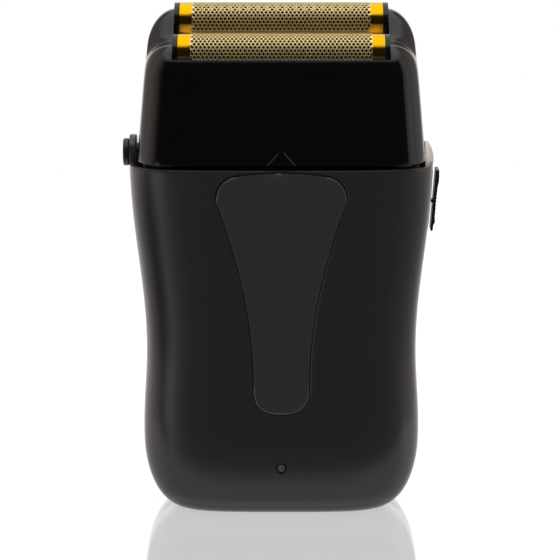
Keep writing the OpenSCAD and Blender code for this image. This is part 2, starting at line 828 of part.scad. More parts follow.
module main_board() {
    color("#1f5a38")
    difference() {
        union() {
            box([board_left_x, board_y, board_low_z], [board_right_x, board_y + board_t, board_top_z]);
            box([arm_left_x, board_y, board_low_z], [board_right_x, board_y + board_t, arm_low_z]);
            box([arm_left_x, board_y, arm_low_z - board_t], [arm_right_x, board_y + board_t, arm_top_z]);
            box([-tongue_x, board_y, floor_t + 0.4], [tongue_x, board_y + board_t, board_low_z + 1]);
        }
        y_rod(boss_r + part_gap, 0, rim_depth, upper_screw[0], upper_screw[1]);
        for (spot = board_screw_spots)
            y_rod(screw_r, 0, rim_depth, spot[0], spot[1]);
    }
}

module board_screws() {
    color("#77777a")
    for (spot = board_screw_spots) {
        y_rod(screw_r + 0.6, board_y - 1, board_y, spot[0], spot[1]);
        y_rod(screw_r - 0.2, board_y, board_y + board_t + board_screw_bite, spot[0], spot[1]);
    }
}

module indicator_led() {
    color("#e9ecf2")
    box([-0.8, board_y - 0.8, lens_z - 0.5], [0.8, board_y, lens_z + 0.5]);
}

// Sliding switch body on the board, with the slot that the finger runs in
module slide_switch_unit() {
    tip_x = half_w(switch_z) - finger_in;
    color("#2e2e30")
    difference() {
        box([upper_screw[0] + boss_r + 0.5, -2.4, switch_z - switch_travel - 3],
            [tip_x + 0.4, board_y, switch_z + 3.4]);
        box([tip_x - 1, -1.1, switch_z - switch_travel - 1.6], [rim_width, 1.1, switch_z + 1.6]);
    }
}

// Stadium-shaped port block pointing down, grown by g
module port_block(g, from, to) {
    r = port_height / 2 + g;
    reach = port_width / 2 + g - r;
    slot_block(reach, r, from, to, 0);
}

module charge_socket() {
    low = 0.5;
    color("#b9bcc0")
    difference() {
        port_block(0, low, low + port_depth);
        difference() {
            port_block(-port_wall, low - 1, low + port_depth - 1);
            box([-port_width * 0.37, -0.35, low + 0.6], [port_width * 0.37, 0.35, low + port_depth]);
        }
    }
}

// Release button, its collar and the ear opposite

module tenon(side, from, to) {
    box([side * (tenon_x + tenon_t / 2) - tenon_t / 2, -tenon_y, from],
        [side * (tenon_x + tenon_t / 2) + tenon_t / 2, tenon_y, to]);
}

module release_bezel() {
    floor_x = button_travel + slide_gap - cap_in_x;
    color("#2a2825")
    difference() {
        union() {
            x_rod(ear_r, -ear_out_x, -ear_in_x, 0, button_z);
            tenon(-1, button_z - ear_r - tenon_depth, button_z - stem_r - 0.5);
        }
        x_rod(button_r + slide_gap, -rim_width, floor_x, 0, button_z);
        x_rod(stem_r + run_gap, -rim_width, 0, 0, button_z);
    }
}

module guide_tab() {
    color("#2a2825")
    union() {
        intersection() {
            x_rod(ear_r, ear_in_x, ear_out_x, 0, tab_z);
            translate([ear_out_x - ear_dome_r, 0, tab_z]) sphere(r = ear_dome_r);
        }
        tenon(1, tab_z - ear_r - tenon_depth, tab_z);
    }
}

module release_button() {
    dish_r = 12;
    color("#303030")
    difference() {
        union() {
            x_rod(button_r, -cap_out_x, -cap_in_x, 0, button_z);
            x_rod(stem_r, -cap_in_x - 0.2, -latch_x - slide_gap, 0, button_z);
        }
        translate([-cap_out_x - dish_r + 0.2, 0, button_z]) sphere(r = dish_r);
    }
}

// Sprung leaf with a nose that catches the head
module head_latch() {
    nose_x = head_x - head_wall - head_draft * (latch_nose_z - head_z) + 0.4;
    color("#c9c5b8")
    union() {
        box([-latch_x, -latch_y, deck_top_z], [-latch_x + latch_t, latch_y, latch_top_z]);
        box([-latch_x, -latch_y, deck_top_z], [-latch_x + 2.4, latch_y, deck_top_z + 0.8]);
        translate([0, latch_y, 0])
            rotate([90, 0, 0])
                linear_extrude(2 * latch_y)
                    polygon([[-latch_x + 0.1, latch_nose_z], [-nose_x, latch_nose_z],
                        [-nose_x, latch_nose_z + 0.8], [-latch_x + 0.1, latch_top_z]]);
    }
}

// Slide switch

module switch_frame() {
    translate([half_w(switch_z), 0, switch_z]) rotate([0, switch_lean, 0]) children();
}

module switch_thumb() {
    h = switch_length / 2;
    g = switch_gap;
    color("#1d1d1d")
    switch_frame()
        union() {
            translate([0, switch_y, 0])
                rotate([90, 0, 0])
                    linear_extrude(2 * switch_y)
                        polygon([[g, -h], [g + 0.7, -h], [g + 0.75, 2 - h],
                            [g + 1.2, 2.7 - h], [g + 0.95, 4 - h],
                            [g + 0.85, 0], [g + 0.95, h - 4], [g + 1.25, h - 2.4], [g + 1.15, h - 1.7],
                            [g + 0.5, h], [g, h]]);
            box([-shoe_in, -stem_y, -stem_z], [g + 0.3, stem_y, stem_z]);
        }
}

module switch_carrier() {
    color("#d6d2c6")
    switch_frame()
        union() {
            box([-shoe_in - shoe_t, -2.6, -3], [-shoe_in, 2.6, 3]);
            box([-finger_in, -0.8, -1], [-shoe_in - shoe_t + 0.2, 0.8, 1]);
        }
}

// Head

// Side of the head: the rear hump, a hollow that falls from it to the front crest, and the front hump
rise_top = [axis_y - cheek_r * sin(rise_slope), rear_hump_z + cheek_r * cos(rise_slope)];
rise_foot = [crest_flat - axis_y, front_hump_z + cheek_r];
rise_r = (rise_top[0] - rise_foot[0] - (rise_top[1] - rise_foot[1]) / tan(rise_slope)) / tan(rise_slope / 2);
head_profile = concat(
    [[head_y, head_z]],
    arc([axis_y, rear_hump_z], cheek_r, 0, 90 + rise_slope, hump_steps),
    arc([rise_foot[0], rise_foot[1] + rise_r], rise_r, 270 + rise_slope, 270, hollow_steps),
    arc([-axis_y, front_hump_z], cheek_r, 90, 180, hump_steps),
    [[-head_y, head_z]]);
shoulder_angles = [for (i = [0 : shoulder_steps]) 90 * i / shoulder_steps];
function ring_x(a) = shoulder_start + (1 - shoulder_start) * sin(a);
function ring_y(a) = 1 - end_narrowing * (1 - cos(a));
function ring_z(a) = 1 - shoulder_share * (1 - cos(a));
function side_x(z, inset) = head_x - inset - head_draft * (z - head_z);

// Ring of a profile at one station of the head, sinking towards the ends if it has shoulders
function head_ring(profile, side, a, inset, sinks) = [for (p = profile)
    let (z = sinks ? head_z + (p[1] - head_z) * ring_z(a) : p[1])
    [side * ring_x(a) * side_x(z, inset), p[0] * ring_y(a), z]];
function head_rings(profile, inset, sinks) = concat(
    [for (i = [shoulder_steps : -1 : 0]) head_ring(profile, -1, shoulder_angles[i], inset, sinks)],
    [for (i = [0 : shoulder_steps]) head_ring(profile, 1, shoulder_angles[i], inset, sinks)]);

// Plan of the head at its lower edge, moved in by an inset
function head_plan(inset) = concat(
    [for (i = [0 : shoulder_steps]) let (a = shoulder_angles[shoulder_steps - i])
        [ring_x(a) * (head_x - inset), ring_y(a) * (head_y - inset)]],
    [for (i = [0 : shoulder_steps]) let (a = shoulder_angles[i])
        [-ring_x(a) * (head_x - inset), ring_y(a) * (head_y - inset)]],
    [for (i = [0 : shoulder_steps]) let (a = shoulder_angles[shoulder_steps - i])
        [-ring_x(a) * (head_x - inset), -ring_y(a) * (head_y - inset)]],
    [for (i = [0 : shoulder_steps]) let (a = shoulder_angles[i])
        [ring_x(a) * (head_x - inset), -ring_y(a) * (head_y - inset)]]);

module head_room() {
    low = head_z - 1;
    low_y = head_y - head_wall + face_lean;
    roof_y = head_y - head_wall - face_lean * (head_roof_z - head_z);
    loft(head_rings([[low_y, low], [roof_y, head_roof_z], [-roof_y, head_roof_z], [-low_y, low]],
        head_wall, false));
}

module head_housing() {
    top = rear_axis_z + 2 * foil_r;
    color("#0b0b0b")
    difference() {
        union() {
            difference() {
                loft(head_rings(head_profile, 0, true));
                head_room();
            }
            for (x = [-retainer_screw_x, retainer_screw_x], y = [-retainer_screw_y, retainer_screw_y])
                z_rod(retainer_boss_r, retainer_z + retainer_t, head_roof_z + 0.5, x, y);
        }
        box([-window_x, -rim_depth, front_axis_z - lip_drop], [window_x, slot_y - axis_y, top]);
        box([-window_x, slot_y - axis_y - 0.1, rear_hump_z], [window_x, axis_y, top]);
        box([-window_x, axis_y - 0.1, rear_axis_z - lip_drop], [window_x, rim_depth, top]);
        for (side = [-1, 1])
            box([-window_x, side * axis_y - slot_y, axis_z(side) - ledge_drop - 1],
                [window_x, side * axis_y + slot_y, top]);
        box([-pocket_x, -axis_y - pocket_y, head_roof_z - 1],
            [pocket_x, axis_y + pocket_y, front_axis_z - ledge_drop]);
        box([-pocket_x, axis_y - pocket_y, head_roof_z],
            [pocket_x, axis_y + pocket_y, rear_axis_z - ledge_drop]);
        for (x = [-retainer_screw_x, retainer_screw_x], y = [-retainer_screw_y, retainer_screw_y])
            z_rod(screw_r - 0.2, retainer_z, head_roof_z, x, y);
        x_rod(stem_r + 0.4, -rim_width, -latch_x, 0, button_z);
        box([-rim_width, -stem_r - 0.4, head_z - 1], [-latch_x, stem_r + 0.4, button_z]);
        box([-side_x(latch_nose_z, head_wall) - 0.6, -latch_y - slide_gap, latch_nose_z - slide_gap],
            [-latch_x, latch_y + slide_gap, latch_top_z + slide_gap]);
    }
}

module foil_retainers() {
    color("#1a1a1c")
    for (side = [-1, 1])
        mirror([side < 0 ? 1 : 0, 0, 0])
            difference() {
                union() {
                    box([retainer_x, -axis_y - cutter_r, retainer_z],
                        [pocket_x, axis_y + cutter_r, retainer_z + retainer_t]);
                    box([retainer_x, -retainer_screw_y - retainer_rim, retainer_z],
                        [retainer_end_x, retainer_screw_y + retainer_rim, retainer_z + retainer_t]);
                    for (row = [-1, 1])
                        box([float_spring_x - spring_post, row * axis_y - 1.5, retainer_z + 0.5],
                            [float_spring_x + spring_post, row * axis_y + 1.5, spring_seat_z(row)]);
                }
                for (y = [-retainer_screw_y, retainer_screw_y])
                    z_rod(screw_r - 0.2, retainer_z - 1, retainer_z + retainer_t + 1, retainer_screw_x, y);
            }
}

function spring_seat_z(row) = axis_z(row) - flange_drop - flange_t - float_spring_len;

module retainer_screws() {
    color("#77777a")
    for (x = [-retainer_screw_x, retainer_screw_x], y = [-retainer_screw_y, retainer_screw_y]) {
        z_rod(screw_r + 0.5, retainer_z - 1, retainer_z, x, y);
        z_rod(screw_r - 0.2, retainer_z, head_roof_z - 0.5, x, y);
    }
}

module float_springs() {
    color("#b9bcc0")
    for (x = [-float_spring_x, float_spring_x], row = [-1, 1])
        coil(float_spring_r, spring_wire, spring_seat_z(row), spring_seat_z(row) + float_spring_len, 5,
            x, row * axis_y);
}

// Foils and their frames

module foil_sheet(side) {
    z = axis_z(side);
    y = side * axis_y;
    difference() {
        union() {
            x_rod(foil_r, -foil_x, foil_x, y, z);
            box([-foil_x, y - foil_r, z - skirt_drop], [foil_x, y + foil_r, z]);
        }
        x_rod(foil_r - foil_t, -foil_x - 1, foil_x + 1, y, z);
        box([-foil_x - 1, y - foil_r + foil_t, z - 2 * foil_r - skirt_drop],
            [foil_x + 1, y + foil_r - foil_t, z]);
    }
}

module foil_frame(side) {
    z = axis_z(side);
    y = side * axis_y;
    difference() {
        union() {
            box([-flange_x, y - flange_y, z - flange_drop - flange_t],
                [flange_x, y + flange_y, z - flange_drop]);
            x_rod(foil_r, -cap_x, cap_x, y, z);
            box([-cap_x, y - foil_r, z - flange_drop - 0.5], [cap_x, y + foil_r, z]);
        }
        box([-foil_x, y - foil_r, z - 2 * foil_r], [foil_x, y + foil_r, z + 2 * foil_r]);
    }
}

module front_foil() {
    color("#d9a62a") foil_sheet(-1);
}

module rear_foil() {
    color("#d9a62a") foil_sheet(1);
}

module front_foil_frame() {
    color("#0f0f0f") foil_frame(-1);
}

module rear_foil_frame() {
    color("#0f0f0f") foil_frame(1);
}

front_housing();
rear_housing();
front_inlay();
indicator_lens();
top_deck();
deck_seal();
post_seals();
deck_screws();
motor_cradle();
motor_screws();
motor_can();
motor_magnets();
motor_end_bell();
motor_armature();
motor_shaft();
eccentric();
guide_rods();
oscillator();
cutter_springs();
front_cutter_carrier();
rear_cutter_carrier();
front_cutter_blades();
rear_cutter_blades();
battery_cell();
battery_tabs();
battery_leads();
motor_leads();
main_board();
board_screws();
indicator_led();
slide_switch_unit();
charge_socket();
housing_screws();
release_bezel();
guide_tab();
release_button();
head_latch();
switch_thumb();
switch_carrier();
head_housing();
foil_retainers();
retainer_screws();
float_springs();
front_foil();
rear_foil();
front_foil_frame();
rear_foil_frame();
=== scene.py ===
"""Looks of a palm-size twin-foil shaver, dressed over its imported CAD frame.

Sizes are in millimetres until a piece is settled, and metres after that. The front faces -Y, +Z is up
and the origin is the middle of the flat base, as in the CAD model.
"""

import json
import logging
import math
from dataclasses import dataclass
from dataclasses import field
from enum import Enum
from typing import Any
from typing import Optional
from typing import Sequence

import bmesh
import bpy
from bmesh.types import BMEdge
from bmesh.types import BMesh
from bmesh.types import BMFace
from bmesh.types import BMVert
from bpy.types import Node
from bpy.types import NodeSocket
from bpy.types import NodeTree
from mathutils import Matrix
from mathutils import Vector


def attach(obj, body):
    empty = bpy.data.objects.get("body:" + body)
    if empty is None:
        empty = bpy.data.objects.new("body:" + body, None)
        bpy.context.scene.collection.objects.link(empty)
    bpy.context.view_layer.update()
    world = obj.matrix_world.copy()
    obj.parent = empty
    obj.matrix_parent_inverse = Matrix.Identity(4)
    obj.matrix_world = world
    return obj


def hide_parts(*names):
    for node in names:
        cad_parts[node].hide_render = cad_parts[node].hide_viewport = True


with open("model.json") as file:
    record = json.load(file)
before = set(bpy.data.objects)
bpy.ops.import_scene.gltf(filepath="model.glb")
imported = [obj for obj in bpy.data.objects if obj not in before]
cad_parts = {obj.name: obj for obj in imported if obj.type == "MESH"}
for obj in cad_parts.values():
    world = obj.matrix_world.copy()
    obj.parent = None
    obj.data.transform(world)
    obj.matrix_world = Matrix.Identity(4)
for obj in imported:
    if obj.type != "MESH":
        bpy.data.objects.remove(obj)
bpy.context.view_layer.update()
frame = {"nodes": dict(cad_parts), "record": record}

MM = 0.001
LOG = logging.getLogger("foil_shaver")

Flat = tuple[float, float]
Spot = tuple[float, float, float]
Values = dict[str | int, Any]

# Places that more than one sub-assembly is built from.
BUTTON_Z = 77.9
EAR_Z = 76.4
FOIL_Y = 6.2
FRONT_FOIL_Z = 99.9
REAR_FOIL_Z = 105.2
SWITCH_PLACE = Matrix.Translation((32.19, 0.0, 67.3)) @ Matrix.Rotation(math.radians(4.5), 4, "Y")

# How far a cutter reaches along each axis to go right through, and past a face that it only opens.
PAST_X = 40.0
PAST_Y = 20.0
PAST_Z = 120.0
PAST_FACE = 1.0

# Points of a piece that are closer than this become one.
SAME_SPOT = 1e-4


class Carrier(Enum):
    """The CAD bodies that the new pieces ride on."""

    BODY = "body"
    SWITCH = "switch"
    BUTTON = "button"
    HEAD = "head"
    FRONT_FOIL = "front_foil_unit"
    REAR_FOIL = "rear_foil_unit"


class Axis(Enum):
    """A world axis, as the turn that takes +Z onto it."""

    X = Matrix.Rotation(math.radians(90), 4, "Y")
    Y = Matrix.Rotation(math.radians(-90), 4, "X")


class Pattern(Enum):
    """How a surface was made, as the stretch of its grain along X, Y and Z."""

    EVEN = (1.0, 1.0, 1.0)
    DRAWN_ALONG_X = (0.04, 1.0, 1.0)
    DRAWN_ALONG_Z = (1.0, 1.0, 0.04)
    WOUND = (0.2, 0.2, 1.0)


# Materials


def linear(colour: str) -> tuple[float, float, float, float]:
    """Turns an sRGB hex colour into linear light.

    Args:
        colour: Six hex digits after a hash.

    Returns:
        Red, green, blue and an alpha of 1.
    """
    shares = [int(colour[i : i + 2], 16) / 255 for i in (1, 3, 5)]
    red, green, blue = (s / 12.92 if s <= 0.04045 else ((s + 0.055) / 1.055) ** 2.4 for s in shares)
    return (red, green, blue, 1.0)


def add_node(
    tree: NodeTree, kind: str, settings: Optional[Values] = None, links: Optional[Values] = None
) -> Node:
    """Adds one node with its settings and links.

    Args:
        tree: The node tree that gets the node.
        kind: Blender's name for the kind of node.
        settings: Values of its properties, or else of its inputs, by name or number.
        links: Sockets of other nodes, by the name or number of the input that each one feeds.

    Returns:
        The new node.
    """
    node = tree.nodes.new(kind)
    for name, value in (settings or {}).items():
        if isinstance(name, str) and hasattr(node, name):
            setattr(node, name, value)
        else:
            node.inputs[name].default_value = value
    for name, source in (links or {}).items():
        tree.links.new(source, node.inputs[name])
    return node


def empty_tree(owner: bpy.types.Material | bpy.types.World) -> NodeTree:
    """Turns a material or a world over to nodes, with none in it yet.

    Args:
        owner: The material or world.

    Returns:
        Its node tree.
    """
    owner.use_nodes = True
    owner.node_tree.nodes.clear()
    return owner.node_tree


@dataclass(frozen=True)
class Finish:
    """One surface of the shaver: what it is made of and the trace that its making left.

    The pattern draws the second colour, the spread of the gloss and the relief, all at grain_mm.
    """

    name: str
    slot: str
    colour: str
    mottle: str
    grain_mm: float
    relief_mm: float
    roughness: float
    rough_spread: float = 0.05
    pattern: Pattern = Pattern.EVEN
    metallic: float = 0.0
    ior: float = 1.5
    specular: float = 0.5
    coat: float = 0.0
    sheen: float = 0.0
    sheen_tint: str = "#ffffff"

    def make(self) -> bpy.types.Material:
        """Builds the material, once for each finish.

        Returns:
            The material with its node tree.
        """
        known = bpy.data.materials.get(self.name)
        if known is not None:
            return known
        material = bpy.data.materials.new(self.name)
        tree = empty_tree(material)
        place = add_node(tree, "ShaderNodeTexCoord")
        stretch = {"Scale": self.pattern.value}
        drawn = add_node(tree, "ShaderNodeMapping", stretch, {"Vector": place.outputs["Object"]})
        noise = {"Scale": 1 / (self.grain_mm * MM), "Detail": 3.0, "Roughness": 0.55}
        grain = add_node(tree, "ShaderNodeTexNoise", noise, {"Vector": drawn.outputs["Vector"]})
        height = grain.outputs["Fac"]
        tone = add_node(tree, "ShaderNodeValToRGB", links={"Fac": height})
        low, high = tone.color_ramp.elements
        low.position, low.color = 0.3, linear(self.mottle)
        high.position, high.color = 0.7, linear(self.colour)
        spread_of_gloss = {
            "To Min": max(0.02, self.roughness - self.rough_spread),
            "To Max": min(1.0, self.roughness + self.rough_spread),
        }
        gloss = add_node(tree, "ShaderNodeMapRange", spread_of_gloss, {"Value": height})
        depth = {"Strength": 1.0, "Distance": self.relief_mm * MM}
        relief = add_node(tree, "ShaderNodeBump", depth, {"Height": height})
        settings: Values = {"Metallic": self.metallic}
        if self.metallic < 1:
            settings |= {"IOR": self.ior, "Specular IOR Level": self.specular}
        if self.coat > 0:
            settings |= {"Coat Weight": self.coat, "Coat Roughness": 0.06}
        if self.sheen > 0:
            settings |= {"Sheen Weight": self.sheen, "Sheen Roughness": 0.45}
            settings |= {"Sheen Tint": linear(self.sheen_tint)}
        links = {
            "Base Color": tone.outputs["Color"],
            "Roughness": gloss.outputs["Result"],
            "Normal": relief.outputs["Normal"],
        }
        surface = add_node(tree, "ShaderNodeBsdfPrincipled", settings, links)
        add_node(tree, "ShaderNodeOutputMaterial", links={"Surface": surface.outputs["BSDF"]})
        return material


# Soft-touch lacquer sprayed on ABS: a deep matt black that goes warm grey where the eye grazes it.
SOFT_TOUCH = Finish(
    "soft_touch_lacquer_sprayed", "soft_touch_body", "#232323", "#202021", grain_mm=0.3, relief_mm=0.001,
    roughness=0.21, rough_spread=0.03, ior=1.6, sheen=0.1, sheen_tint="#d8c4bc",
)
# ABS moulded against a fine etched tool: a slightly lighter satin than the body round it.
SATIN_INLAY = Finish(
    "satin_abs_etched_mould", "satin_inlay", "#2e2e2e", "#2b2b2b", grain_mm=0.25, relief_mm=0.001,
    roughness=0.3,
)
# The edge of the inlay: a glossier finish with a lighter colour, a painted highlight that gives a thin
# line lighter than the face.
INLAY_EDGE_HIGHLIGHT = Finish(
    "satin_abs_edge_painted_highlight", "satin_inlay", "#343434", "#303030", grain_mm=0.4, relief_mm=0.0005,
    roughness=0.16, ior=1.85,
)
# ABS from a polished tool: black that mirrors the room, with a faint ripple from shrinkage.
GLOSS_HEAD = Finish(
    "gloss_abs_polished_mould", "gloss_head", "#080808", "#070707", grain_mm=9.0, relief_mm=0.012,
    roughness=0.1, rough_spread=0.02,
)
# ABS trim from a lightly blasted tool: a dry dark grey that takes a thin edge highlight.
MOULDED_TRIM = Finish(
    "trim_abs_blasted_mould", "moulded_trim", "#1a1918", "#151414", grain_mm=0.35, relief_mm=0.006,
    roughness=0.34,
)
# The ear's trim in pale warm taupe against the black round it: a painted highlight that stands in for
# light falling on it from the right.
EAR_PAINTED_HIGHLIGHT = Finish(
    "trim_abs_taupe_painted_highlight", "moulded_trim", "#dcd0c6", "#d2c6bc", grain_mm=0.35, relief_mm=0.002,
    roughness=0.36,
)
# Nickel foil with a titanium nitride coat: a warm gold mirror with fine lines from electroforming.
GOLD_FOIL = Finish(
    "titanium_nitride_electroformed", "gold_foil", "#eeba0b", "#e2ab08", grain_mm=0.5, relief_mm=0.001,
    roughness=0.16, rough_spread=0.03, pattern=Pattern.DRAWN_ALONG_X, metallic=1.0,
)
# The same foil where it is etched, and along its foot: paler and duller; on the etched field the paler
# colour is partly a painted highlight for light scattered by the rims round the holes.
FOIL_FIELD = Finish(
    "nickel_foil_etched_field_painted_highlight", "gold_foil", "#f4dfa0", "#e2ca8e", grain_mm=0.4, relief_mm=0.002,
    roughness=0.3, metallic=1.0,
)
# Hardened steel, ground and blued: a dark grey that is partly painted shade, so that the foils' holes
# stay dark like the shade inside the head.
CUTTER_STEEL = Finish(
    "hardened_steel_ground_blued_painted_shade", "cutter_steel", "#4a4c50", "#3c3e42", grain_mm=0.12, relief_mm=0.002,
    roughness=0.26, pattern=Pattern.DRAWN_ALONG_X, metallic=1.0,
)
# Blackened steel screws and springs: dark metal with a dull oxide bloom.
FASTENER_STEEL = Finish(
    "steel_black_oxide", "fastener_steel", "#6c6d70", "#4e4f52", grain_mm=0.4, relief_mm=0.004,
    roughness=0.36, metallic=1.0,
)
# Glass-filled nylon for the inner frame: a grey black with a coarse dry grain, partly its own black and
# partly painted shade, made near black and dull so that the gap under the head stays dark.
INNER_PLASTIC = Finish(
    "nylon_glass_filled_moulded_painted_shade", "inner_plastic", "#0f0f10", "#0b0b0c", grain_mm=0.5, relief_mm=0.01,
    roughness=0.5, specular=0.15,
)
# Acetal sliding parts: waxy off-white that stays a little translucent to the eye.
ACETAL = Finish(
    "acetal_natural_moulded", "acetal", "#d9d5c9", "#cfcabc", grain_mm=1.6, relief_mm=0.003,
    roughness=0.33,
)
# Nitrile seals: soft black with a dusty bloom.
SEAL_RUBBER = Finish(
    "nitrile_rubber_compression_moulded", "seal_rubber", "#161616", "#1e1e1e", grain_mm=0.8,
    relief_mm=0.008, roughness=0.62,
)
# Deep-drawn zinc-plated can: pale metal with draw lines up the wall.
MOTOR_METAL = Finish(
    "steel_zinc_plated_drawn", "motor_metal", "#b4b6b8", "#9c9ea1", grain_mm=0.5, relief_mm=0.003,
    roughness=0.3, pattern=Pattern.DRAWN_ALONG_Z, metallic=1.0,
)
# Enamelled copper windings: brown orange with the turns lying side by side.
ARMATURE_COPPER = Finish(
    "copper_enamelled_wound", "armature_copper", "#b5642d", "#7d3f1b", grain_mm=0.35, relief_mm=0.05,
    roughness=0.3, pattern=Pattern.WOUND, metallic=1.0,
)
# Shrunk PVC sleeve on the cell: green with the sheen of tight film.
CELL_SLEEVE = Finish(
    "pvc_sleeve_shrunk", "cell_sleeve", "#3f7f5a", "#376f4f", grain_mm=2.2, relief_mm=0.006,
    roughness=0.28,
)
# Glass-epoxy board under solder mask: deep green with the weave just showing.
BOARD_GREEN = Finish(
    "glass_epoxy_solder_mask", "board_green", "#1f5a38", "#194a2e", grain_mm=0.6, relief_mm=0.006,
    roughness=0.34, coat=0.3,
)
# Extruded silicone sleeve on the leads: dark red and slightly dusty.
LEAD_SLEEVE = Finish(
    "silicone_sleeve_extruded", "lead_sleeve", "#8c1f1f", "#761a1a", grain_mm=0.7, relief_mm=0.004,
    roughness=0.48,
)
# Smoked acrylic light guide with a fine frost: a violet grey dome that is lightest on top.
LENS_DARK = Finish(
    "acrylic_smoked_frosted", "lens_dark", "#403f49", "#35343d", grain_mm=0.5, relief_mm=0.001,
    roughness=0.34, ior=1.49,
)

# The finish that each slot of the record gets.
CAD_FINISHES = (
    SOFT_TOUCH, SATIN_INLAY, GLOSS_HEAD, MOULDED_TRIM, GOLD_FOIL, CUTTER_STEEL, FASTENER_STEEL,
    INNER_PLASTIC, ACETAL, SEAL_RUBBER, MOTOR_METAL, ARMATURE_COPPER, CELL_SLEEVE, BOARD_GREEN,
    LEAD_SLEEVE, LENS_DARK,
)
FINISHES: dict[str, Finish] = {finish.slot: finish for finish in CAD_FINISHES}


# Lines and meshes


def spread(start: float, end: float, steps: int) -> list[float]:
    """Returns evenly spaced values from start to end, both included."""
    return [start + (end - start) * i / steps for i in range(steps + 1)]


def between(start: Flat, end: Flat, steps: int) -> list[Flat]:
    """Returns evenly spaced points on a straight line, both ends included."""
    return list(zip(spread(start[0], end[0], steps), spread(start[1], end[1], steps)))


def arc(centre: Flat, radius: float, start: float, end: float, steps: int) -> list[Flat]:
    """Returns points along an arc between two angles in degrees, both ends included."""
    turns = [math.radians(angle) for angle in spread(start, end, steps)]
    return [(centre[0] + radius * math.cos(t), centre[1] + radius * math.sin(t)) for t in turns]


def verts_of(geom: Sequence[Any]) -> list[BMVert]:
    """Returns the vertices among what a mesh operator gives back."""
    return [part for part in geom if isinstance(part, BMVert)]


def add_ring(bm: BMesh, points: Sequence[Spot]) -> list[BMEdge]:
    """Adds a closed ring: a circle whose vertices are set on the points.

    Args:
        bm: The mesh that gets the ring.
        points: Where its vertices go, in order round the ring.

    Returns:
        The ring's edges.
    """
    made = bmesh.ops.create_circle(bm, cap_ends=False, radius=1.0, segments=len(points))
    for vert, point in zip(made["verts"], points):
        vert.co = point
    return list({edge for vert in made["verts"] for edge in vert.link_edges})


def loft(rings: Sequence[Sequence[Spot]]) -> BMesh:
    """Makes a closed solid through rings with equal numbers of points.

    Args:
        rings: The rings, from one end to the other.

    Returns:
        The solid.
    """
    bm = bmesh.new()
    loops = [add_ring(bm, points) for points in rings]
    for near, far in zip(loops, loops[1:]):
        bmesh.ops.bridge_loops(bm, edges=near + far)
    for end in (loops[0], loops[-1]):
        bmesh.ops.contextual_create(bm, geom=end)
    bmesh.ops.recalc_face_normals(bm, faces=bm.faces)
    return bm


def box(low: Spot, high: Spot) -> BMesh:
    """Makes a block between two corners.

    Args:
        low: The corner with the smallest coordinates.
        high: The corner with the largest.

    Returns:
        The block.
    """
    bm = bmesh.new()
    size = Vector(high) - Vector(low)
    middle = (Vector(high) + Vector(low)) / 2
    bmesh.ops.create_cube(bm, size=1.0, matrix=Matrix.Translation(middle) @ Matrix.Diagonal((*size, 1.0)))
    return bm


def rod(axis: Axis, radius: float, start: float, end: float, centre: Spot, sides: int = 64) -> BMesh:
    """Makes a round rod along an axis.

    Args:
        axis: The axis that the rod lies along.
        radius: Its radius.
        start: Where it starts along the axis, counted from the centre.
        end: Where it ends along the axis, counted from the centre.
        centre: A point on its middle line.
        sides: How many sides it has.

    Returns:
        The rod.
    """
    bm = bmesh.new()
    lift = Matrix.Translation((0, 0, (start + end) / 2))
    bmesh.ops.create_cone(
        bm,
        cap_ends=True,
        cap_tris=False,
        segments=sides,
        radius1=radius,
        radius2=radius,
        depth=end - start,
        matrix=Matrix.Translation(centre) @ axis.value @ lift,
    )
    return bm


def prism(outline: Sequence[Spot], reach: Spot) -> BMesh:
    """Makes a solid by pushing a flat outline along a line.

    Args:
        outline: The corners of the flat face, in order.
        reach: How far and which way it is pushed.

    Returns:
        The solid.
    """
    bm = bmesh.new()
    face = bmesh.ops.contextual_create(bm, geom=add_ring(bm, outline))["faces"]
    pushed = bmesh.ops.extrude_face_region(bm, geom=face)["geom"]
    bmesh.ops.translate(bm, verts=verts_of(pushed), vec=reach)
    bmesh.ops.recalc_face_normals(bm, faces=bm.faces)
    return bm


def turned(profile: Sequence[Flat], height: float) -> BMesh:
    """Makes a turned solid by spinning a profile about an axis along X.

    Args:
        profile: Points as (place along X, radius), from one pole or rim to the other.
        height: The axis's height.

    Returns:
        The solid, closed where the profile meets the axis.
    """
    bm = bmesh.new()
    verts = [bm.verts.new((x, 0.0, height + radius)) for x, radius in profile]
    edges = [bm.edges.new(pair) for pair in zip(verts, verts[1:])]
    bmesh.ops.spin(
        bm,
        geom=[*verts, *edges],
        cent=(0, 0, height),
        axis=(1, 0, 0),
        angle=math.tau,
        steps=72,
        use_merge=True,
        use_duplicate=False,
    )
    bmesh.ops.remove_doubles(bm, verts=bm.verts, dist=SAME_SPOT)
    bmesh.ops.recalc_face_normals(bm, faces=bm.faces)
    return bm


def round_edges(bm: BMesh, edges: Sequence[BMEdge], width: float, steps: int, material: int = -1) -> None:
    """Rounds edges of a mesh.

    Args:
        bm: The mesh.
        edges: Which edges are rounded.
        width: How wide the rounding is.
        steps: How many steps it has.
        material: The number of its material, or -1 for the one of the faces beside it.
    """
    bmesh.ops.bevel(
        bm,
        geom=edges,
        offset=width,
        offset_type="OFFSET",
        segments=steps,
        profile=0.5,
        affect="EDGES",
        material=material,
    )


def joined(parts: Sequence[BMesh]) -> BMesh:
    """Puts meshes into one without changing them, and frees them.

    Args:
        parts: The meshes.

    Returns:
        The mesh that holds them all.
    """
    whole = bmesh.new()
    for part in parts:
        mesh = bpy.data.meshes.new("joined_part")
        part.to_mesh(mesh)
        part.free()
        whole.from_mesh(mesh)
        bpy.data.meshes.remove(mesh)
    return whole


def as_object(name: str, bm: BMesh) -> bpy.types.Object:
    """Puts a mesh into the scene as it is, and frees it.

    Args:
        name: The object's name.
        bm: The mesh.

    Returns:
        The object.
    """
    mesh = bpy.data.meshes.new(name)
    bm.to_mesh(mesh)
    bm.free()
    made = bpy.data.objects.new(name, mesh)
    bpy.context.scene.collection.objects.link(made)
    return made


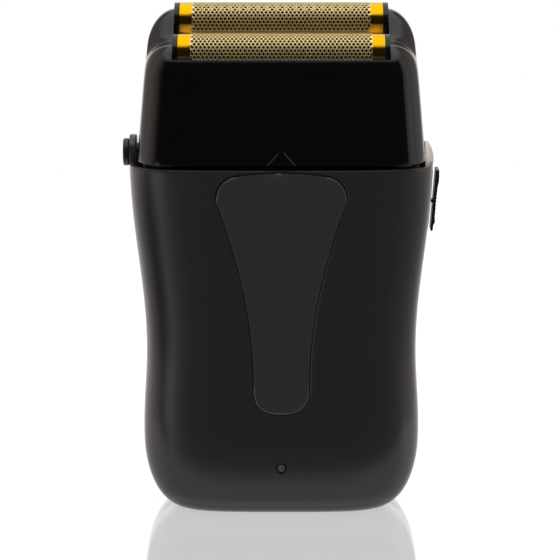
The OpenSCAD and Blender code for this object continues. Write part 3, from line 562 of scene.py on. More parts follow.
def carved(solid: BMesh, cutters: Sequence[BMesh], ridges: Sequence[BMesh] = ()) -> BMesh:
    """Cuts solids out of another, and joins others to it.

    Args:
        solid: What is cut.
        cutters: What is taken out of it.
        ridges: What is then joined to it.

    Returns:
        What comes of it, as a new mesh.
    """
    target = as_object("carve_target", solid)
    tools = []
    for i, part in enumerate([*cutters, *ridges]):
        tool = as_object(f"carve_tool_{i}", part)
        step = target.modifiers.new(tool.name, "BOOLEAN")
        step.operation = "DIFFERENCE" if i < len(cutters) else "UNION"
        step.solver = "EXACT"
        step.object = tool
        tools.append(tool)
    graph = bpy.context.evaluated_depsgraph_get()
    mesh = bpy.data.meshes.new_from_object(target.evaluated_get(graph))
    left = bmesh.new()
    left.from_mesh(mesh)
    bpy.data.meshes.remove(mesh)
    for used in (target, *tools):
        bpy.data.meshes.remove(used.data)
    return left


def settle(
    name: str,
    bm: BMesh,
    carrier: Carrier,
    finish: Finish,
    stands_for: Sequence[str],
    edge_mm: float = 0.0,
    skin_mm: float = 0.0,
    crease: float = 35.0,
) -> bpy.types.Object:
    """Makes a finished piece of a mesh: metres, normals, shading, material and the body it rides on.

    Args:
        name: The piece's name.
        bm: Its mesh in millimetres, which is freed.
        carrier: The CAD body that it moves with.
        finish: Its surface.
        stands_for: The CAD nodes that it replaces.
        edge_mm: How wide its sharp edges are rounded.
        skin_mm: The thickness that a sheet gets, towards its inside.
        crease: The angle in degrees above which an edge stays sharp.

    Returns:
        The piece.
    """
    bmesh.ops.remove_doubles(bm, verts=bm.verts, dist=SAME_SPOT)
    bmesh.ops.dissolve_degenerate(bm, edges=bm.edges, dist=SAME_SPOT)
    bmesh.ops.recalc_face_normals(bm, faces=bm.faces)
    bmesh.ops.scale(bm, verts=bm.verts, vec=(MM, MM, MM))
    piece = as_object(name, bm)
    piece.data.shade_smooth()
    piece.data.set_sharp_from_angle(angle=math.radians(crease))
    if skin_mm > 0:
        skin = piece.modifiers.new("skin", "SOLIDIFY")
        skin.thickness = skin_mm * MM
        skin.offset = -1.0
        skin.material_offset_rim = -1
    if edge_mm > 0:
        edge = piece.modifiers.new("edges", "BEVEL")
        edge.width = edge_mm * MM
        edge.segments = 3
        edge.profile = 0.5
        edge.limit_method = "ANGLE"
        edge.angle_limit = math.radians(crease)
        edge.material = -1
        shade = piece.modifiers.new("shading", "WEIGHTED_NORMAL")
        shade.keep_sharp = True
    piece.data.materials.append(finish.make())
    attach(piece, carrier.value)
    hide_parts(*stands_for)
    LOG.info("%s rides on %s", name, carrier.value)
    return piece


# Sub-assemblies


@dataclass
class BodyForm:
    """The outer form of the body: how wide and deep it is at each height."""

    rim_z: float = 76.8
    waist_z: float = 36.0
    foot_z: float = 18.0
    rim: Flat = (65.2, 31.0)
    waist: Flat = (58.7, 29.6)
    foot: Flat = (60.2, 30.6)
    base: Flat = (40.0, 20.0)
    round_height: Flat = (17.0, 6.0)
    round_power: float = 2.2
    section_power: float = 4.2
    turn_steps: int = 96

    def half(self, z: float, way: int) -> float:
        """Gives the half width or half depth at a height.

        Args:
            z: The height.
            way: 0 across, 1 from front to back.

        Returns:
            The half size.
        """
        if z > self.waist_z:
            far, run = self.rim[way], self.rim_z - self.waist_z
        else:
            far, run = self.foot[way], self.waist_z - self.foot_z
        share = min(1.0, abs(z - self.waist_z) / run)
        ease = (1 - math.cos(math.pi * share)) / 2
        size = self.waist[way] + (far - self.waist[way]) * ease
        tuck = 0.0
        height = self.round_height[way]
        if z < height:
            bend = 1 - (1 - max(0.0, z) / height) ** self.round_power
            tuck = (self.foot[way] - self.base[way]) / 2 * (1 - bend ** (1 / self.round_power))
        return size / 2 - tuck

    def face_y(self, x: float, z: float) -> float:
        """Gives how far the front stands from the middle plane at a spot."""
        share = abs(x) / self.half(z, 0)
        return self.half(z, 1) * (1 - share**self.section_power) ** (1 / self.section_power)

    def section(self, z: float, inset: float, start: float, sweep: float, at: float) -> list[Spot]:
        """Lays points round the body's cross-section.

        Args:
            z: The height that sets the section's size.
            inset: How far the section is moved in.
            start: The angle where it starts, in degrees from +X.
            sweep: The angle that it covers.
            at: The height that the points get.

        Returns:
            The points, without the last one of a full turn.
        """
        width, depth = self.half(z, 0) - inset, self.half(z, 1) - inset
        power = 2 / self.section_power
        count = self.turn_steps if sweep >= 360 else self.turn_steps + 1
        points = []
        for i in range(count):
            turn = math.radians(start + sweep * i / self.turn_steps)
            cos, sin = round(math.cos(turn), 9), round(math.sin(turn), 9)
            x = math.copysign(abs(cos) ** power, cos) * width
            y = math.copysign(abs(sin) ** power, sin) * depth
            points.append((x, y, at))
        return points

    def levels(self, round_steps: int, rise_steps: int) -> list[float]:
        """Gives the heights of the rings, close together where the foot rounds under.

        Args:
            round_steps: How many steps the rounding has.
            rise_steps: How many steps the rest has.

        Returns:
            The heights from the base to the rim.
        """
        top = self.round_height[0]
        turns = [math.pi / 2 * i / round_steps for i in range(round_steps)]
        low = [top * (1 - math.cos(turn) ** (2 / self.round_power)) for turn in turns]
        return low + spread(top, self.rim_z, rise_steps)


@dataclass
class InlayForm:
    """The outline of the shield-shaped inlay, narrow at its foot and wide under the rim."""

    low_z: float = 23.3
    high_z: float = 75.8
    low_half: float = 5.9
    high_half: float = 13.8
    corner: float = 4.6
    flare_z: float = 29.8
    flare_power: float = 1.9
    wide_z: float = 70.0
    shoulder: Flat = (4.4, 5.0)
    shoulder_turn: float = 80.0

    def right_edge(self, grow: float) -> list[Flat]:
        """Lays points up the right-hand edge, from the foot to the middle of the top.

        Args:
            grow: How far the outline is moved out.

        Returns:
            Points as (x, z).
        """
        low = self.low_z + self.corner
        points = arc((self.low_half - self.corner, low), self.corner + grow, -90, 0, 10)
        for z in spread(low, self.wide_z, 22)[1:]:
            share = max(0.0, z - self.flare_z) / (self.wide_z - self.flare_z)
            flare = (self.high_half - self.low_half) * share**self.flare_power
            points.append((self.low_half + flare + grow, z))
        middle = self.high_half - self.shoulder[0]
        for angle in spread(0, self.shoulder_turn, 12)[1:]:
            turn = math.radians(angle)
            x = middle + (self.shoulder[0] + grow) * math.cos(turn)
            points.append((x, self.wide_z + (self.shoulder[1] + grow) * math.sin(turn)))
        meet_x, meet_z = points[-1]
        top = self.high_z + grow
        for x in spread(meet_x, 0, 12)[1:]:
            points.append((x, top - (top - meet_z) * (x / meet_x) ** 2))
        return points

    def outline(self, grow: float, y: float) -> list[Spot]:
        """Lays the whole outline at one depth.

        Args:
            grow: How far the outline is moved out.
            y: The depth that the points get.

        Returns:
            The points round the outline.
        """
        right = self.right_edge(grow)
        left = [(-x, z) for x, z in reversed(right[:-1])]
        return [(x, y, z) for x, z in right + left]


@dataclass
class Housing:
    """The two halves of the body with the inlay and the charge light."""

    form: BodyForm = field(default_factory=BodyForm)
    inlay: InlayForm = field(default_factory=InlayForm)
    wall: float = 2.5
    floor: float = 2.4
    rim_drop: float = 0.5
    rim_round: float = 0.08
    rim_lip: float = 0.7
    rim_step: float = 3.2
    split_groove: float = 0.12
    inlay_back: float = -14.0
    inlay_proud: float = 0.25
    inlay_round: float = 0.3
    inlay_cuts_x: float = 9.0
    pocket_reach: float = 10.0
    groove: float = 0.32
    lip: float = 0.28
    lip_slope: float = 0.4
    lip_past: Flat = (0.05, 0.1)
    lens_z: float = 11.1
    lens_r: float = 0.95
    lens_gap: float = 0.28
    lens_proud: float = 0.05
    lens_length: float = 3.0
    lens_round: float = 0.7
    screw_spots: tuple[Flat, ...] = ((19.5, 67.0), (-19.5, 67.0), (14.0, 6.4), (-14.0, 6.4))
    screw_pocket_r: float = 2.0
    screw_floor_y: float = 8.0
    ear_r: float = 3.9
    ear_in_x: float = 30.95
    stem_r: float = 2.3
    stem_in_x: float = 20.0
    port_half: Flat = (4.55, 1.7)
    slot_low: Spot = (-5.0, -1.5, -5.8)
    slot_high: Spot = (2.5, 1.5, 1.8)

    def half_ring(self, z: float, inset: float, start: float) -> list[Spot]:
        """Lays half a section, with its two ends chamfered for the groove on the split.

        Args:
            z: The ring's height.
            inset: How far the ring is moved in.
            start: The angle where it starts: 180 for the front, 0 for the rear.

        Returns:
            The points from one end to the other.
        """
        points = self.form.section(z, inset, start, 180, z)
        side = math.copysign(self.split_groove, points[0][0])
        depth = self.split_groove if start < 90 else -self.split_groove
        first = [(points[0][0] - side, 0.0, z), (points[0][0], depth, z)]
        last = [(points[-1][0], depth, z), (points[-1][0] + side, 0.0, z)]
        return first + points[1:-1] + last

    def half_block(self, start: float) -> BMesh:
        """Makes one solid half of the body, with a rounded rim.

        Args:
            start: The angle where its half section starts: 180 for the front, 0 for the rear.

        Returns:
            The half, flat on the split.
        """
        low = self.form.rim_z - self.rim_drop - self.rim_round
        rings = [self.half_ring(z, 0.0, start) for z in self.form.levels(14, 36) if z < low]
        for angle in spread(0, 90, 6):
            turn = math.radians(angle)
            inset = self.rim_round * (1 - math.cos(turn))
            rings.append(self.half_ring(low + self.rim_round * math.sin(turn), inset, start))
        return loft(rings)

    def room(self) -> BMesh:
        """Makes the room inside the walls, open at the rim."""
        levels = self.form.levels(6, 12)
        return loft([self.form.section(z, self.wall, 0, 360, z + self.floor) for z in levels])

    def rim_seat(self) -> BMesh:
        """Makes the step behind the rim that leaves a thin lip and a dark gap below the head.

        Returns:
            The cutter.
        """
        top = self.form.rim_z
        heights = (top - self.rim_drop - self.rim_step, top + PAST_FACE)
        return loft([self.form.section(top, self.rim_lip, 0, 360, z) for z in heights])

    def pocket_lip(self) -> BMesh:
        """Makes the chamfer round the mouth of the inlay pocket, which follows the body's face.

        Returns:
            The cutter.
        """
        rings = []
        inner, outer = self.lip_past
        for past in (-inner, self.lip + outer):
            sink = self.lip_slope * (self.lip - past)
            ring = []
            for x, _, z in self.inlay.outline(self.groove + past, 0.0):
                ring.append((x, sink - self.form.face_y(x, min(z, self.form.rim_z)), z))
            rings.append(ring)
        return loft(rings)

    def split_cuts(self) -> list[BMesh]:
        """Makes what is cut out of both halves: ear seats, button stem, switch slot, port and rim step.

        Returns:
            The cutters.
        """
        slot = box(self.slot_low, self.slot_high)
        bmesh.ops.transform(slot, matrix=SWITCH_PLACE, verts=slot.verts)
        wide, port_r = self.port_half
        ends = arc((wide - port_r, 0), port_r, -90, 90, 16) + arc((port_r - wide, 0), port_r, 90, 270, 16)
        port = prism([(x, y, -PAST_FACE) for x, y in ends], (0, 0, self.floor + 2 * PAST_FACE))
        return [
            rod(Axis.X, self.ear_r, -PAST_X, -self.ear_in_x, (0, 0, BUTTON_Z)),
            rod(Axis.X, self.ear_r, self.ear_in_x, PAST_X, (0, 0, EAR_Z)),
            rod(Axis.X, self.stem_r, -PAST_X, -self.stem_in_x, (0, 0, BUTTON_Z)),
            slot,
            port,
            self.rim_seat(),
        ]

    def build_front(self) -> None:
        """Builds the front half with its inlay pocket and the hole for the light."""
        pocket = prism(self.inlay.outline(self.groove, self.inlay_back), (0, -self.pocket_reach, 0))
        light = rod(Axis.Y, self.lens_r + self.lens_gap, -PAST_Y, 0, (0, 0, self.lens_z), 32)
        cutters = [self.room(), pocket, self.pocket_lip(), light, *self.split_cuts()]
        shell = carved(self.half_block(180), cutters)
        settle("front_shell", shell, Carrier.BODY, SOFT_TOUCH, ["front_housing"])

    def build_rear(self) -> None:
        """Builds the rear half with the screw pockets."""
        pockets = []
        for x, z in self.screw_spots:
            pockets.append(rod(Axis.Y, self.screw_pocket_r, self.screw_floor_y, PAST_Y, (x, 0, z), 40))
        shell = carved(self.half_block(0), [self.room(), *pockets, *self.split_cuts()])
        settle("rear_shell", shell, Carrier.BODY, SOFT_TOUCH, ["rear_housing"])

    def build_inlay(self) -> None:
        """Builds the inlay: a flat plate cut into strips, pushed out to the body's face and rounded."""
        bm = bmesh.new()
        edges = add_ring(bm, self.inlay.outline(0.0, self.inlay_back))
        bmesh.ops.contextual_create(bm, geom=edges)
        cuts = [((0, 0, z), (0, 0, 1)) for z in spread(self.inlay.low_z, self.inlay.high_z, 26)[1:-1]]
        cuts += [((x, 0, 0), (1, 0, 0)) for x in spread(-self.inlay_cuts_x, self.inlay_cuts_x, 4)]
        for spot, normal in cuts:
            every = [*bm.verts, *bm.edges, *bm.faces]
            bmesh.ops.bisect_plane(bm, geom=every, plane_co=spot, plane_no=normal)
        pushed = bmesh.ops.extrude_face_region(bm, geom=list(bm.faces))["geom"]
        for vert in verts_of(pushed):
            vert.co.y = -self.form.face_y(vert.co.x, vert.co.z) - self.inlay_proud
        faces = {part for part in pushed if isinstance(part, BMFace)}
        rim = [edge for edge in bm.edges if len(faces.intersection(edge.link_faces)) == 1]
        # The rounded rim gets the second material, the edge finish whose lighter colour is a painted
        # highlight.
        round_edges(bm, rim, self.inlay_round, 4, material=1)
        plate = settle("inlay_plate", bm, Carrier.BODY, SATIN_INLAY, ["front_inlay"], crease=50)
        plate.data.materials.append(INLAY_EDGE_HIGHLIGHT.make())

    def build_lens(self) -> None:
        """Builds the light: a short domed pin set into the front."""
        face = -self.form.half(self.lens_z, 1)
        centre = (0, 0, self.lens_z)
        pin = rod(Axis.Y, self.lens_r, face - self.lens_proud, face + self.lens_length, centre, 32)
        tip = min(pin.faces, key=lambda one: one.calc_center_median().y)
        round_edges(pin, list(tip.edges), self.lens_round, 7)
        settle("charge_light", pin, Carrier.BODY, LENS_DARK, ["indicator_lens"])

    def build(self) -> None:
        """Builds the whole body."""
        self.build_front()
        self.build_rear()
        self.build_inlay()
        self.build_lens()


@dataclass
class Head:
    """The gloss head with its two cheeks, stepped like the foils between them."""

    base_z: float = 77.6
    foot_z: float = 77.08
    foot_round: float = 0.4
    half_x: float = 30.85
    half_y: float = 14.2
    draft: float = 0.09
    front_hump_z: float = 96.2
    rear_hump_z: float = 102.3
    cheek_r: float = 5.9
    rise_slope: float = 45.0
    crest_flat: float = 1.0
    straight_share: float = 0.8045
    narrowing: float = 0.655
    sink: float = 0.2288
    wall: float = 1.6
    roof_z: float = 92.0
    window_x: float = 23.05
    window_drop: float = 0.6
    window_overlap: float = 0.1
    slot_y: float = 4.5
    slot_drop: float = 3.8
    pocket: Flat = (24.5, 5.1)
    pocket_drop: float = 2.8
    latch_x: float = 26.7
    stem_r: float = 2.4
    catch_x: float = 29.49
    catch_y: float = 3.7
    catch_z: Flat = (81.4, 84.2)
    mark_half: float = 2.85
    mark_gap: float = 0.5
    mark_z: Flat = (77.3, 79.95)
    mark_height: float = 0.2

    @property
    def lean(self) -> float:
        """How far the front leans in for each millimetre of height."""
        return (self.half_y - FOIL_Y - self.cheek_r) / (self.front_hump_z - self.base_z)

    def profile(self) -> list[Flat]:
        """Lays the head's end profile: the rear hump, the hollow before it, the front hump and both feet.

        Returns:
            Points as (y, z), from the rear foot to the front foot.
        """
        slope = math.radians(self.rise_slope)
        rear = arc((FOIL_Y, self.rear_hump_z), self.cheek_r, 0, 90 + self.rise_slope, 26)
        front = arc((-FOIL_Y, self.front_hump_z), self.cheek_r, 90, 180, 20)
        low_y, low_z = self.crest_flat - FOIL_Y, front[0][1]
        radius = (rear[-1][0] - low_y - (rear[-1][1] - low_z) / math.tan(slope)) / math.tan(slope / 2)
        hollow = arc((low_y, low_z + radius), radius, 270 + self.rise_slope, 270, 14)
        foot_y = self.half_y + self.lean * (self.base_z - self.foot_z) - self.foot_round
        rear_foot = arc((foot_y, self.foot_z + self.foot_round), self.foot_round, -90, 0, 5)
        front_foot = [(-y, z) for y, z in reversed(rear_foot)]
        climb = between(rear_foot[-1], rear[0], 10)[1:-1]
        fall = between(front[-1], front_foot[0], 10)[1:-1]
        return rear_foot + climb + rear + hollow + front + fall + front_foot

    def rings(self, profile: Sequence[Flat], inset: float, sinks: bool, steps: int) -> list[list[Spot]]:
        """Lays a profile along the head, drawn in towards the ends.

        Args:
            profile: Points as (y, z).
            inset: How far the ends are moved in.
            sinks: Whether the profile loses height towards the ends.
            steps: How many steps each end has.

        Returns:
            The rings from left to right.
        """
        made = []
        stations = [(-1, a) for a in spread(90, 0, steps)] + [(1, a) for a in spread(0, 90, steps)]
        for side, angle in stations:
            turn = math.radians(angle)
            share = self.straight_share + (1 - self.straight_share) * math.sin(turn)
            narrow = 1 - self.narrowing * (1 - math.cos(turn))
            low = 1 - self.sink * (1 - math.cos(turn)) if sinks else 1.0
            ring = []
            for y, z in profile:
                height = self.base_z + (z - self.base_z) * low
                x = share * (self.half_x - inset - self.draft * (height - self.base_z))
                ring.append((side * x, y * narrow, height))
            made.append(ring)
        return made

    def room(self) -> BMesh:
        """Makes the hollow under the roof.

        Returns:
            The cutter.
        """
        low_z = self.base_z - PAST_FACE
        low = self.half_y - self.wall + self.lean * PAST_FACE
        high = self.half_y - self.wall - self.lean * (self.roof_z - self.base_z)
        corners = [(low, low_z), (high, self.roof_z), (-high, self.roof_z), (-low, low_z)]
        return loft(self.rings(corners, self.wall, False, 14))

    def openings(self) -> list[BMesh]:
        """Makes the window round the foils, the slots and pockets under it and the latch seat.

        Returns:
            The cutters.
        """
        x, mid = self.window_x, self.slot_y - FOIL_Y
        cuts = [
            box((-x, -PAST_Y, FRONT_FOIL_Z - self.window_drop), (x, mid, PAST_Z)),
            box((-x, mid - self.window_overlap, self.rear_hump_z), (x, FOIL_Y, PAST_Z)),
            box((-x, FOIL_Y - self.window_overlap, REAR_FOIL_Z - self.window_drop), (x, PAST_Y, PAST_Z)),
        ]
        wide, deep = self.pocket
        for y, height in ((-FOIL_Y, FRONT_FOIL_Z), (FOIL_Y, REAR_FOIL_Z)):
            cuts.append(box((-x, y - self.slot_y, height - self.slot_drop), (x, y + self.slot_y, PAST_Z)))
            top = height - self.pocket_drop
            cuts.append(box((-wide, y - deep, self.roof_z - PAST_FACE), (wide, y + deep, top)))
        low, high = self.catch_z
        notch = (-PAST_X, -self.stem_r, self.base_z - PAST_FACE)
        cuts.append(rod(Axis.X, self.stem_r, -PAST_X, -self.latch_x, (0, 0, BUTTON_Z), 40))
        cuts.append(box(notch, (-self.latch_x, self.stem_r, BUTTON_Z)))
        cuts.append(box((-self.catch_x, -self.catch_y, low), (-self.latch_x, self.catch_y, high)))
        return cuts

    def mark(self) -> list[BMesh]:
        """Makes the plain triangle above the front rim: two raised legs that stop short of each other.

        Returns:
            The ridges, each a thin bar along the leaning front, edge first.
        """
        low, high = self.mark_z
        half = self.mark_height / math.sqrt(2)
        edge_first = Matrix.Rotation(math.radians(45), 4, "X")
        bars = []
        for side in (-1, 1):
            start = Vector((side * self.mark_half, 0, low))
            run = Vector((side * self.mark_gap, 0, high)) - start
            bar = box((0, -half, -half), (run.length, half, half))
            turn = Matrix.Rotation(math.atan2(-run.z, run.x), 4, "Y")
            place = Matrix.Translation(start) @ turn @ edge_first
            bmesh.ops.transform(bar, matrix=place, verts=bar.verts)
            for vert in bar.verts:
                vert.co.y += self.lean * (vert.co.z - self.base_z) - self.half_y
            bars.append(bar)
        return bars

    def build(self) -> None:
        """Builds the head's shell."""
        solid = loft(self.rings(self.profile(), 0.0, True, 22))
        shell = carved(solid, [self.room(), *self.openings()], self.mark())
        settle("head_shell", shell, Carrier.HEAD, GLOSS_HEAD, ["head_housing"], crease=32)


@dataclass
class FoilUnit:
    """One arched foil with its staggered holes, held in a black frame."""

    side: str
    axis_y: float
    axis_z: float
    carrier: Carrier
    radius: float = 4.3
    half_length: float = 21.85
    end_slack: float = 0.01
    margin: float = 2.65
    columns: int = 43
    rows: int = 22
    row_pitch: float = 0.735
    hole_r: float = 0.27
    hole_sink: float = 0.07
    seam: float = 0.001
    skirt: float = 3.165
    sheet: float = 0.12
    cap: float = 1.15
    cap_foot: float = 0.5
    flange: Flat = (24.3, 4.95)
    flange_drop: float = 2.85
    flange_t: float = 2.0
    seat_gap: float = 0.02
    frame_round: float = 0.16

    @property
    def field_length(self) -> float:
        """How long the part with holes is."""
        return 2 * (self.half_length - self.margin)

    def tile(self, bm: BMesh, pitch: float) -> list[BMVert]:
        """Adds one cell of the sheet: a square of metal with a round hole.

        Args:
            bm: The mesh that gets the cell.
            pitch: The cell's width.

        Returns:
            The cell's vertices, with its lower left corner at the origin.
        """
        wide, tall = pitch / 4, self.row_pitch / 2
        top, bottom = [(i, 2) for i in (4, 3, 2, 1, 0)], [(i, 0) for i in range(5)]
        rim = [(i * wide, k * tall, 0.0) for i, k in [(4, 1), *top, (0, 1), *bottom]]
        hole = []
        for x, y, _ in rim:
            turn = math.atan2((y - tall) / tall, (x - 2 * wide) / (2 * wide))
            across, up = self.hole_r * math.cos(turn), self.hole_r * math.sin(turn)
            hole.append((2 * wide + across, tall + up, -self.hole_sink))
        bmesh.ops.bridge_loops(bm, edges=add_ring(bm, rim) + add_ring(bm, hole))
        return list(bm.verts)

    def add_row(self, bm: BMesh) -> list[Any]:
        """Adds one row of cells side by side, and the half cell of plain metal that ends it.

        Args:
            bm: The mesh that gets the row.

        Returns:
            The row's vertices, edges and faces.
        """
        pitch = self.field_length / (self.columns + 0.5)
        cell = [*self.tile(bm, pitch), *bm.edges, *bm.faces]
        row = list(cell)
        for column in range(1, self.columns):
            copy = bmesh.ops.duplicate(bm, geom=cell)["geom"]
            bmesh.ops.translate(bm, verts=verts_of(copy), vec=(column * pitch, 0, 0))
            row += copy
        middle = Matrix.Translation((self.field_length - pitch / 4, self.row_pitch / 2, 0))
        place = middle @ Matrix.Diagonal((pitch / 2, self.row_pitch, 1, 1))
        fill = bmesh.ops.create_grid(bm, x_segments=2, y_segments=2, size=0.5, matrix=place)["verts"]
        row += [*fill, *{edge for vert in fill for edge in vert.link_edges}]
        return row + list({face for vert in fill for face in vert.link_faces})

    def flat_sheet(self) -> BMesh:
        """Makes the perforated sheet before it is bent, centred on the origin.

        Returns:
            The sheet in X and Y, with plain margins at both ends and plain skirts.
        """
        wide, tall = self.field_length, self.rows * self.row_pitch
        bm = bmesh.new()
        row = self.add_row(bm)
        for level in range(1, self.rows):
            verts = verts_of(bmesh.ops.duplicate(bm, geom=row)["geom"])
            if level % 2:
                bmesh.ops.scale(bm, verts=verts, vec=(-1, 1, 1))
                bmesh.ops.translate(bm, verts=verts, vec=(wide, 0, 0))
            bmesh.ops.translate(bm, verts=verts, vec=(0, level * self.row_pitch, 0))
        for middle in (-self.margin / 2, wide + self.margin / 2):
            place = Matrix.Translation((middle, tall / 2, 0)) @ Matrix.Diagonal((self.margin, tall, 1, 1))
            bmesh.ops.create_grid(bm, x_segments=3, y_segments=2 * self.rows, size=0.5, matrix=place)
        bmesh.ops.translate(bm, verts=bm.verts, vec=(-wide / 2, -tall / 2, 0))
        bmesh.ops.remove_doubles(bm, verts=bm.verts, dist=self.seam)
        for way in (-1, 1):
            rim = [e for e in bm.edges if all(abs(v.co.y - way * tall / 2) < self.seam for v in e.verts)]
            pushed = bmesh.ops.extrude_edge_only(bm, edges=rim)["geom"]
            bmesh.ops.translate(bm, verts=verts_of(pushed), vec=(0, way * self.skirt, 0))
        return bm

    def build_sheet(self) -> None:
        """Builds the foil: bends the flat sheet over the arch and gives it its thickness."""
        bm = self.flat_sheet()
        quarter = self.radius * math.pi / 2
        for vert in bm.verts:
            run, radius = vert.co.y, self.radius + vert.co.z
            if abs(run) <= quarter:
                turn = run / self.radius
                y, z = radius * math.sin(turn), radius * math.cos(turn)
            else:
                y, z = math.copysign(radius, run), quarter - abs(run)
            vert.co = (vert.co.x, self.axis_y + y, self.axis_z + z)
        for face in bm.faces:
            spot = face.calc_center_median()
            # The etched field and the foot below the axis get the second, paler material, whose paler
            # colour is partly a painted highlight.
            face.material_index = int(abs(spot.x) < self.field_length / 2 or spot.z < self.axis_z)
        name, node = f"{self.side}_foil_sheet", f"{self.side}_foil"
        sheet = settle(name, bm, self.carrier, GOLD_FOIL, [node], skin_mm=self.sheet, crease=80)
        sheet.data.materials.append(FOIL_FIELD.make())
        end = (self.half_length - self.end_slack) * MM
        for edge in sheet.data.edges:
            edge.use_edge_sharp |= all(abs(sheet.data.vertices[i].co.x) > end for i in edge.vertices)

    def build_frame(self) -> None:
        """Builds the frame: two arched end walls, each on its length of flange."""
        foot = -self.flange_drop - self.cap_foot
        outline = [(self.radius, foot), *arc((0.0, 0.0), self.radius, 0, 180, 40), (-self.radius, foot)]
        parts = []
        for x in (-self.half_length - self.cap, self.half_length):
            spots = [(x, self.axis_y + y, self.axis_z + z) for y, z in outline]
            parts.append(prism(spots, (self.cap, 0, 0)))
        wide, deep = self.flange
        top = self.axis_z - self.flange_drop
        for way in (-1, 1):
            near, far = sorted((way * (self.half_length + self.seat_gap), way * wide))
            low = (near, self.axis_y - deep, top - self.flange_t)
            parts.append(box(low, (far, self.axis_y + deep, top - self.seat_gap)))
        name, node = f"{self.side}_foil_holder", f"{self.side}_foil_frame"
        settle(name, joined(parts), self.carrier, GLOSS_HEAD, [node], edge_mm=self.frame_round)

    def build(self) -> None:
        """Builds the foil and its frame."""
        self.build_sheet()
        self.build_frame()


@dataclass
class Controls:
    """The release button with its collar, the ear opposite and the slide switch."""

    ear_r: float = 3.85
    collar_x: Flat = (31.15, 32.72)
    recess_x: float = 31.6
    recess_gap: float = 0.2
    recess_round: float = 0.12
    stem_gap: float = 0.06
    tab_x: Flat = (30.97, 32.92)
    ear_dome_r: float = 6.16
    button_r: float = 2.95
    button_x: Flat = (32.9, 34.1)
    button_round: float = 0.15
    dish_r: float = 2.4
    dish_depth: float = 0.2
    stem_r: float = 2.0
    stem_in_x: float = 26.9
    stem_round: float = 0.2
    rim_round: float = 0.3
    rim_middle: float = 0.09
    switch_half: float = 7.05
    switch_y: float = 2.4
    switch_gap: float = 0.6
    switch_round: float = 0.12
    tongue_low: Spot = (-3.1, -1.2, -0.3)
    rib_x: Flat = (0.2, 0.8)
    rib_half: float = 0.18
    rib_inset: float = 0.5
    rib_reach: float = 2.4

    def rounded_rim(self, x: float, radius: float, way: int) -> list[Flat]:
        """Lays the rounded corner of a turned rim.

        Args:
            x: Where its flat face is.
            radius: The radius of its wall.
            way: Which way along X the wall runs from the face.

        Returns:
            Points as (place along X, radius), from the face to the wall.
        """
        full, mid = self.rim_round, self.rim_middle
        return [(x, radius - full), (x + way * mid, radius - mid), (x + way * full, radius)]

    def build_collar(self) -> None:
        """Builds the collar: a turned cup with rounded rims round the button."""
        inner, outer = self.collar_x
        lip, hole = self.button_r + self.recess_gap, self.stem_r + self.stem_gap
        profile = [
            (-inner, hole),
            *self.rounded_rim(-inner, self.ear_r, -1),
            *reversed(self.rounded_rim(-outer, self.ear_r, 1)),
            (-outer, lip + self.recess_round),
            (-outer + self.recess_round, lip),
            (-self.recess_x, lip),
            (-self.recess_x, hole),
            (-inner, hole),
        ]
        settle("button_collar", turned(profile, BUTTON_Z), Carrier.BODY, SOFT_TOUCH, ["release_bezel"])

    def build_button(self) -> None:
        """Builds the button: a dished cap on a stem."""
        inner, outer = self.button_x
        dish = []
        for r in spread(0, self.dish_r, 8):
            dish.append((-outer + self.dish_depth * (1 - (r / self.dish_r) ** 2), r))
        profile = [
            *dish,
            *self.rounded_rim(-outer, self.button_r, 1),
            (-inner - self.button_round, self.button_r),
            (-inner, self.button_r - self.button_round),
            (-inner, self.stem_r),
            (-self.stem_in_x - self.stem_round, self.stem_r),
            (-self.stem_in_x, self.stem_r - self.stem_round),
            (-self.stem_in_x, 0.0),
        ]
        settle("release_cap", turned(profile, BUTTON_Z), Carrier.BUTTON, MOULDED_TRIM, ["release_button"])

    def build_ear(self) -> None:
        """Builds the ear opposite the button: a low dome."""
        inner, outer = self.tab_x
        rim_turn = math.degrees(math.asin(self.ear_r / self.ear_dome_r))
        dome = arc((outer - self.ear_dome_r, 0.0), self.ear_dome_r, rim_turn, 0, 12)
        profile = [(inner, 0.0), (inner, self.ear_r), *dome]
        # The ear's pale taupe is a painted highlight for light from the right.
        settle("side_ear", turned(profile, EAR_Z), Carrier.BODY, EAR_PAINTED_HIGHLIGHT, ["guide_tab"])

    def build_switch(self) -> None:
        """Builds the slide switch: a bowed pad with a raised stop at each end and grip ribs between."""
        h, g, y = self.switch_half, self.switch_gap, self.switch_y
        lower_stop = [(g, 0.7 - h), (g + 0.5, 0.7 - h), (g + 0.55, 2 - h), (g + 0.85, 2.7 - h)]
        bow = [(g + 0.68, 4 - h), (g + 0.62, 0.0), (g + 0.7, h - 4)]
        upper_stop = [(g + 0.9, h - 2.4), (g + 0.75, h), (g, h)]
        side = [(x, -y, z) for x, z in lower_stop + bow + upper_stop]
        _, tongue_y, tongue_z = self.tongue_low
        inner, outer = self.rib_x
        parts = [prism(side, (0, 2 * y, 0)), box(self.tongue_low, (g + inner, -tongue_y, -tongue_z))]
        for z in spread(-self.rib_reach, self.rib_reach, 6):
            low = (g + inner, self.rib_inset - y, z - self.rib_half)
            parts.append(box(low, (g + outer, y - self.rib_inset, z + self.rib_half)))
        pad = joined(parts)
        bmesh.ops.transform(pad, matrix=SWITCH_PLACE, verts=pad.verts)
        node = ["switch_thumb"]
        settle("switch_pad", pad, Carrier.SWITCH, MOULDED_TRIM, node, edge_mm=self.switch_round)

    def build(self) -> None:
        """Builds all the controls."""
        self.build_collar()
        self.build_button()
        self.build_ear()
        self.build_switch()


Walls = tuple[tuple[float, str], ...]

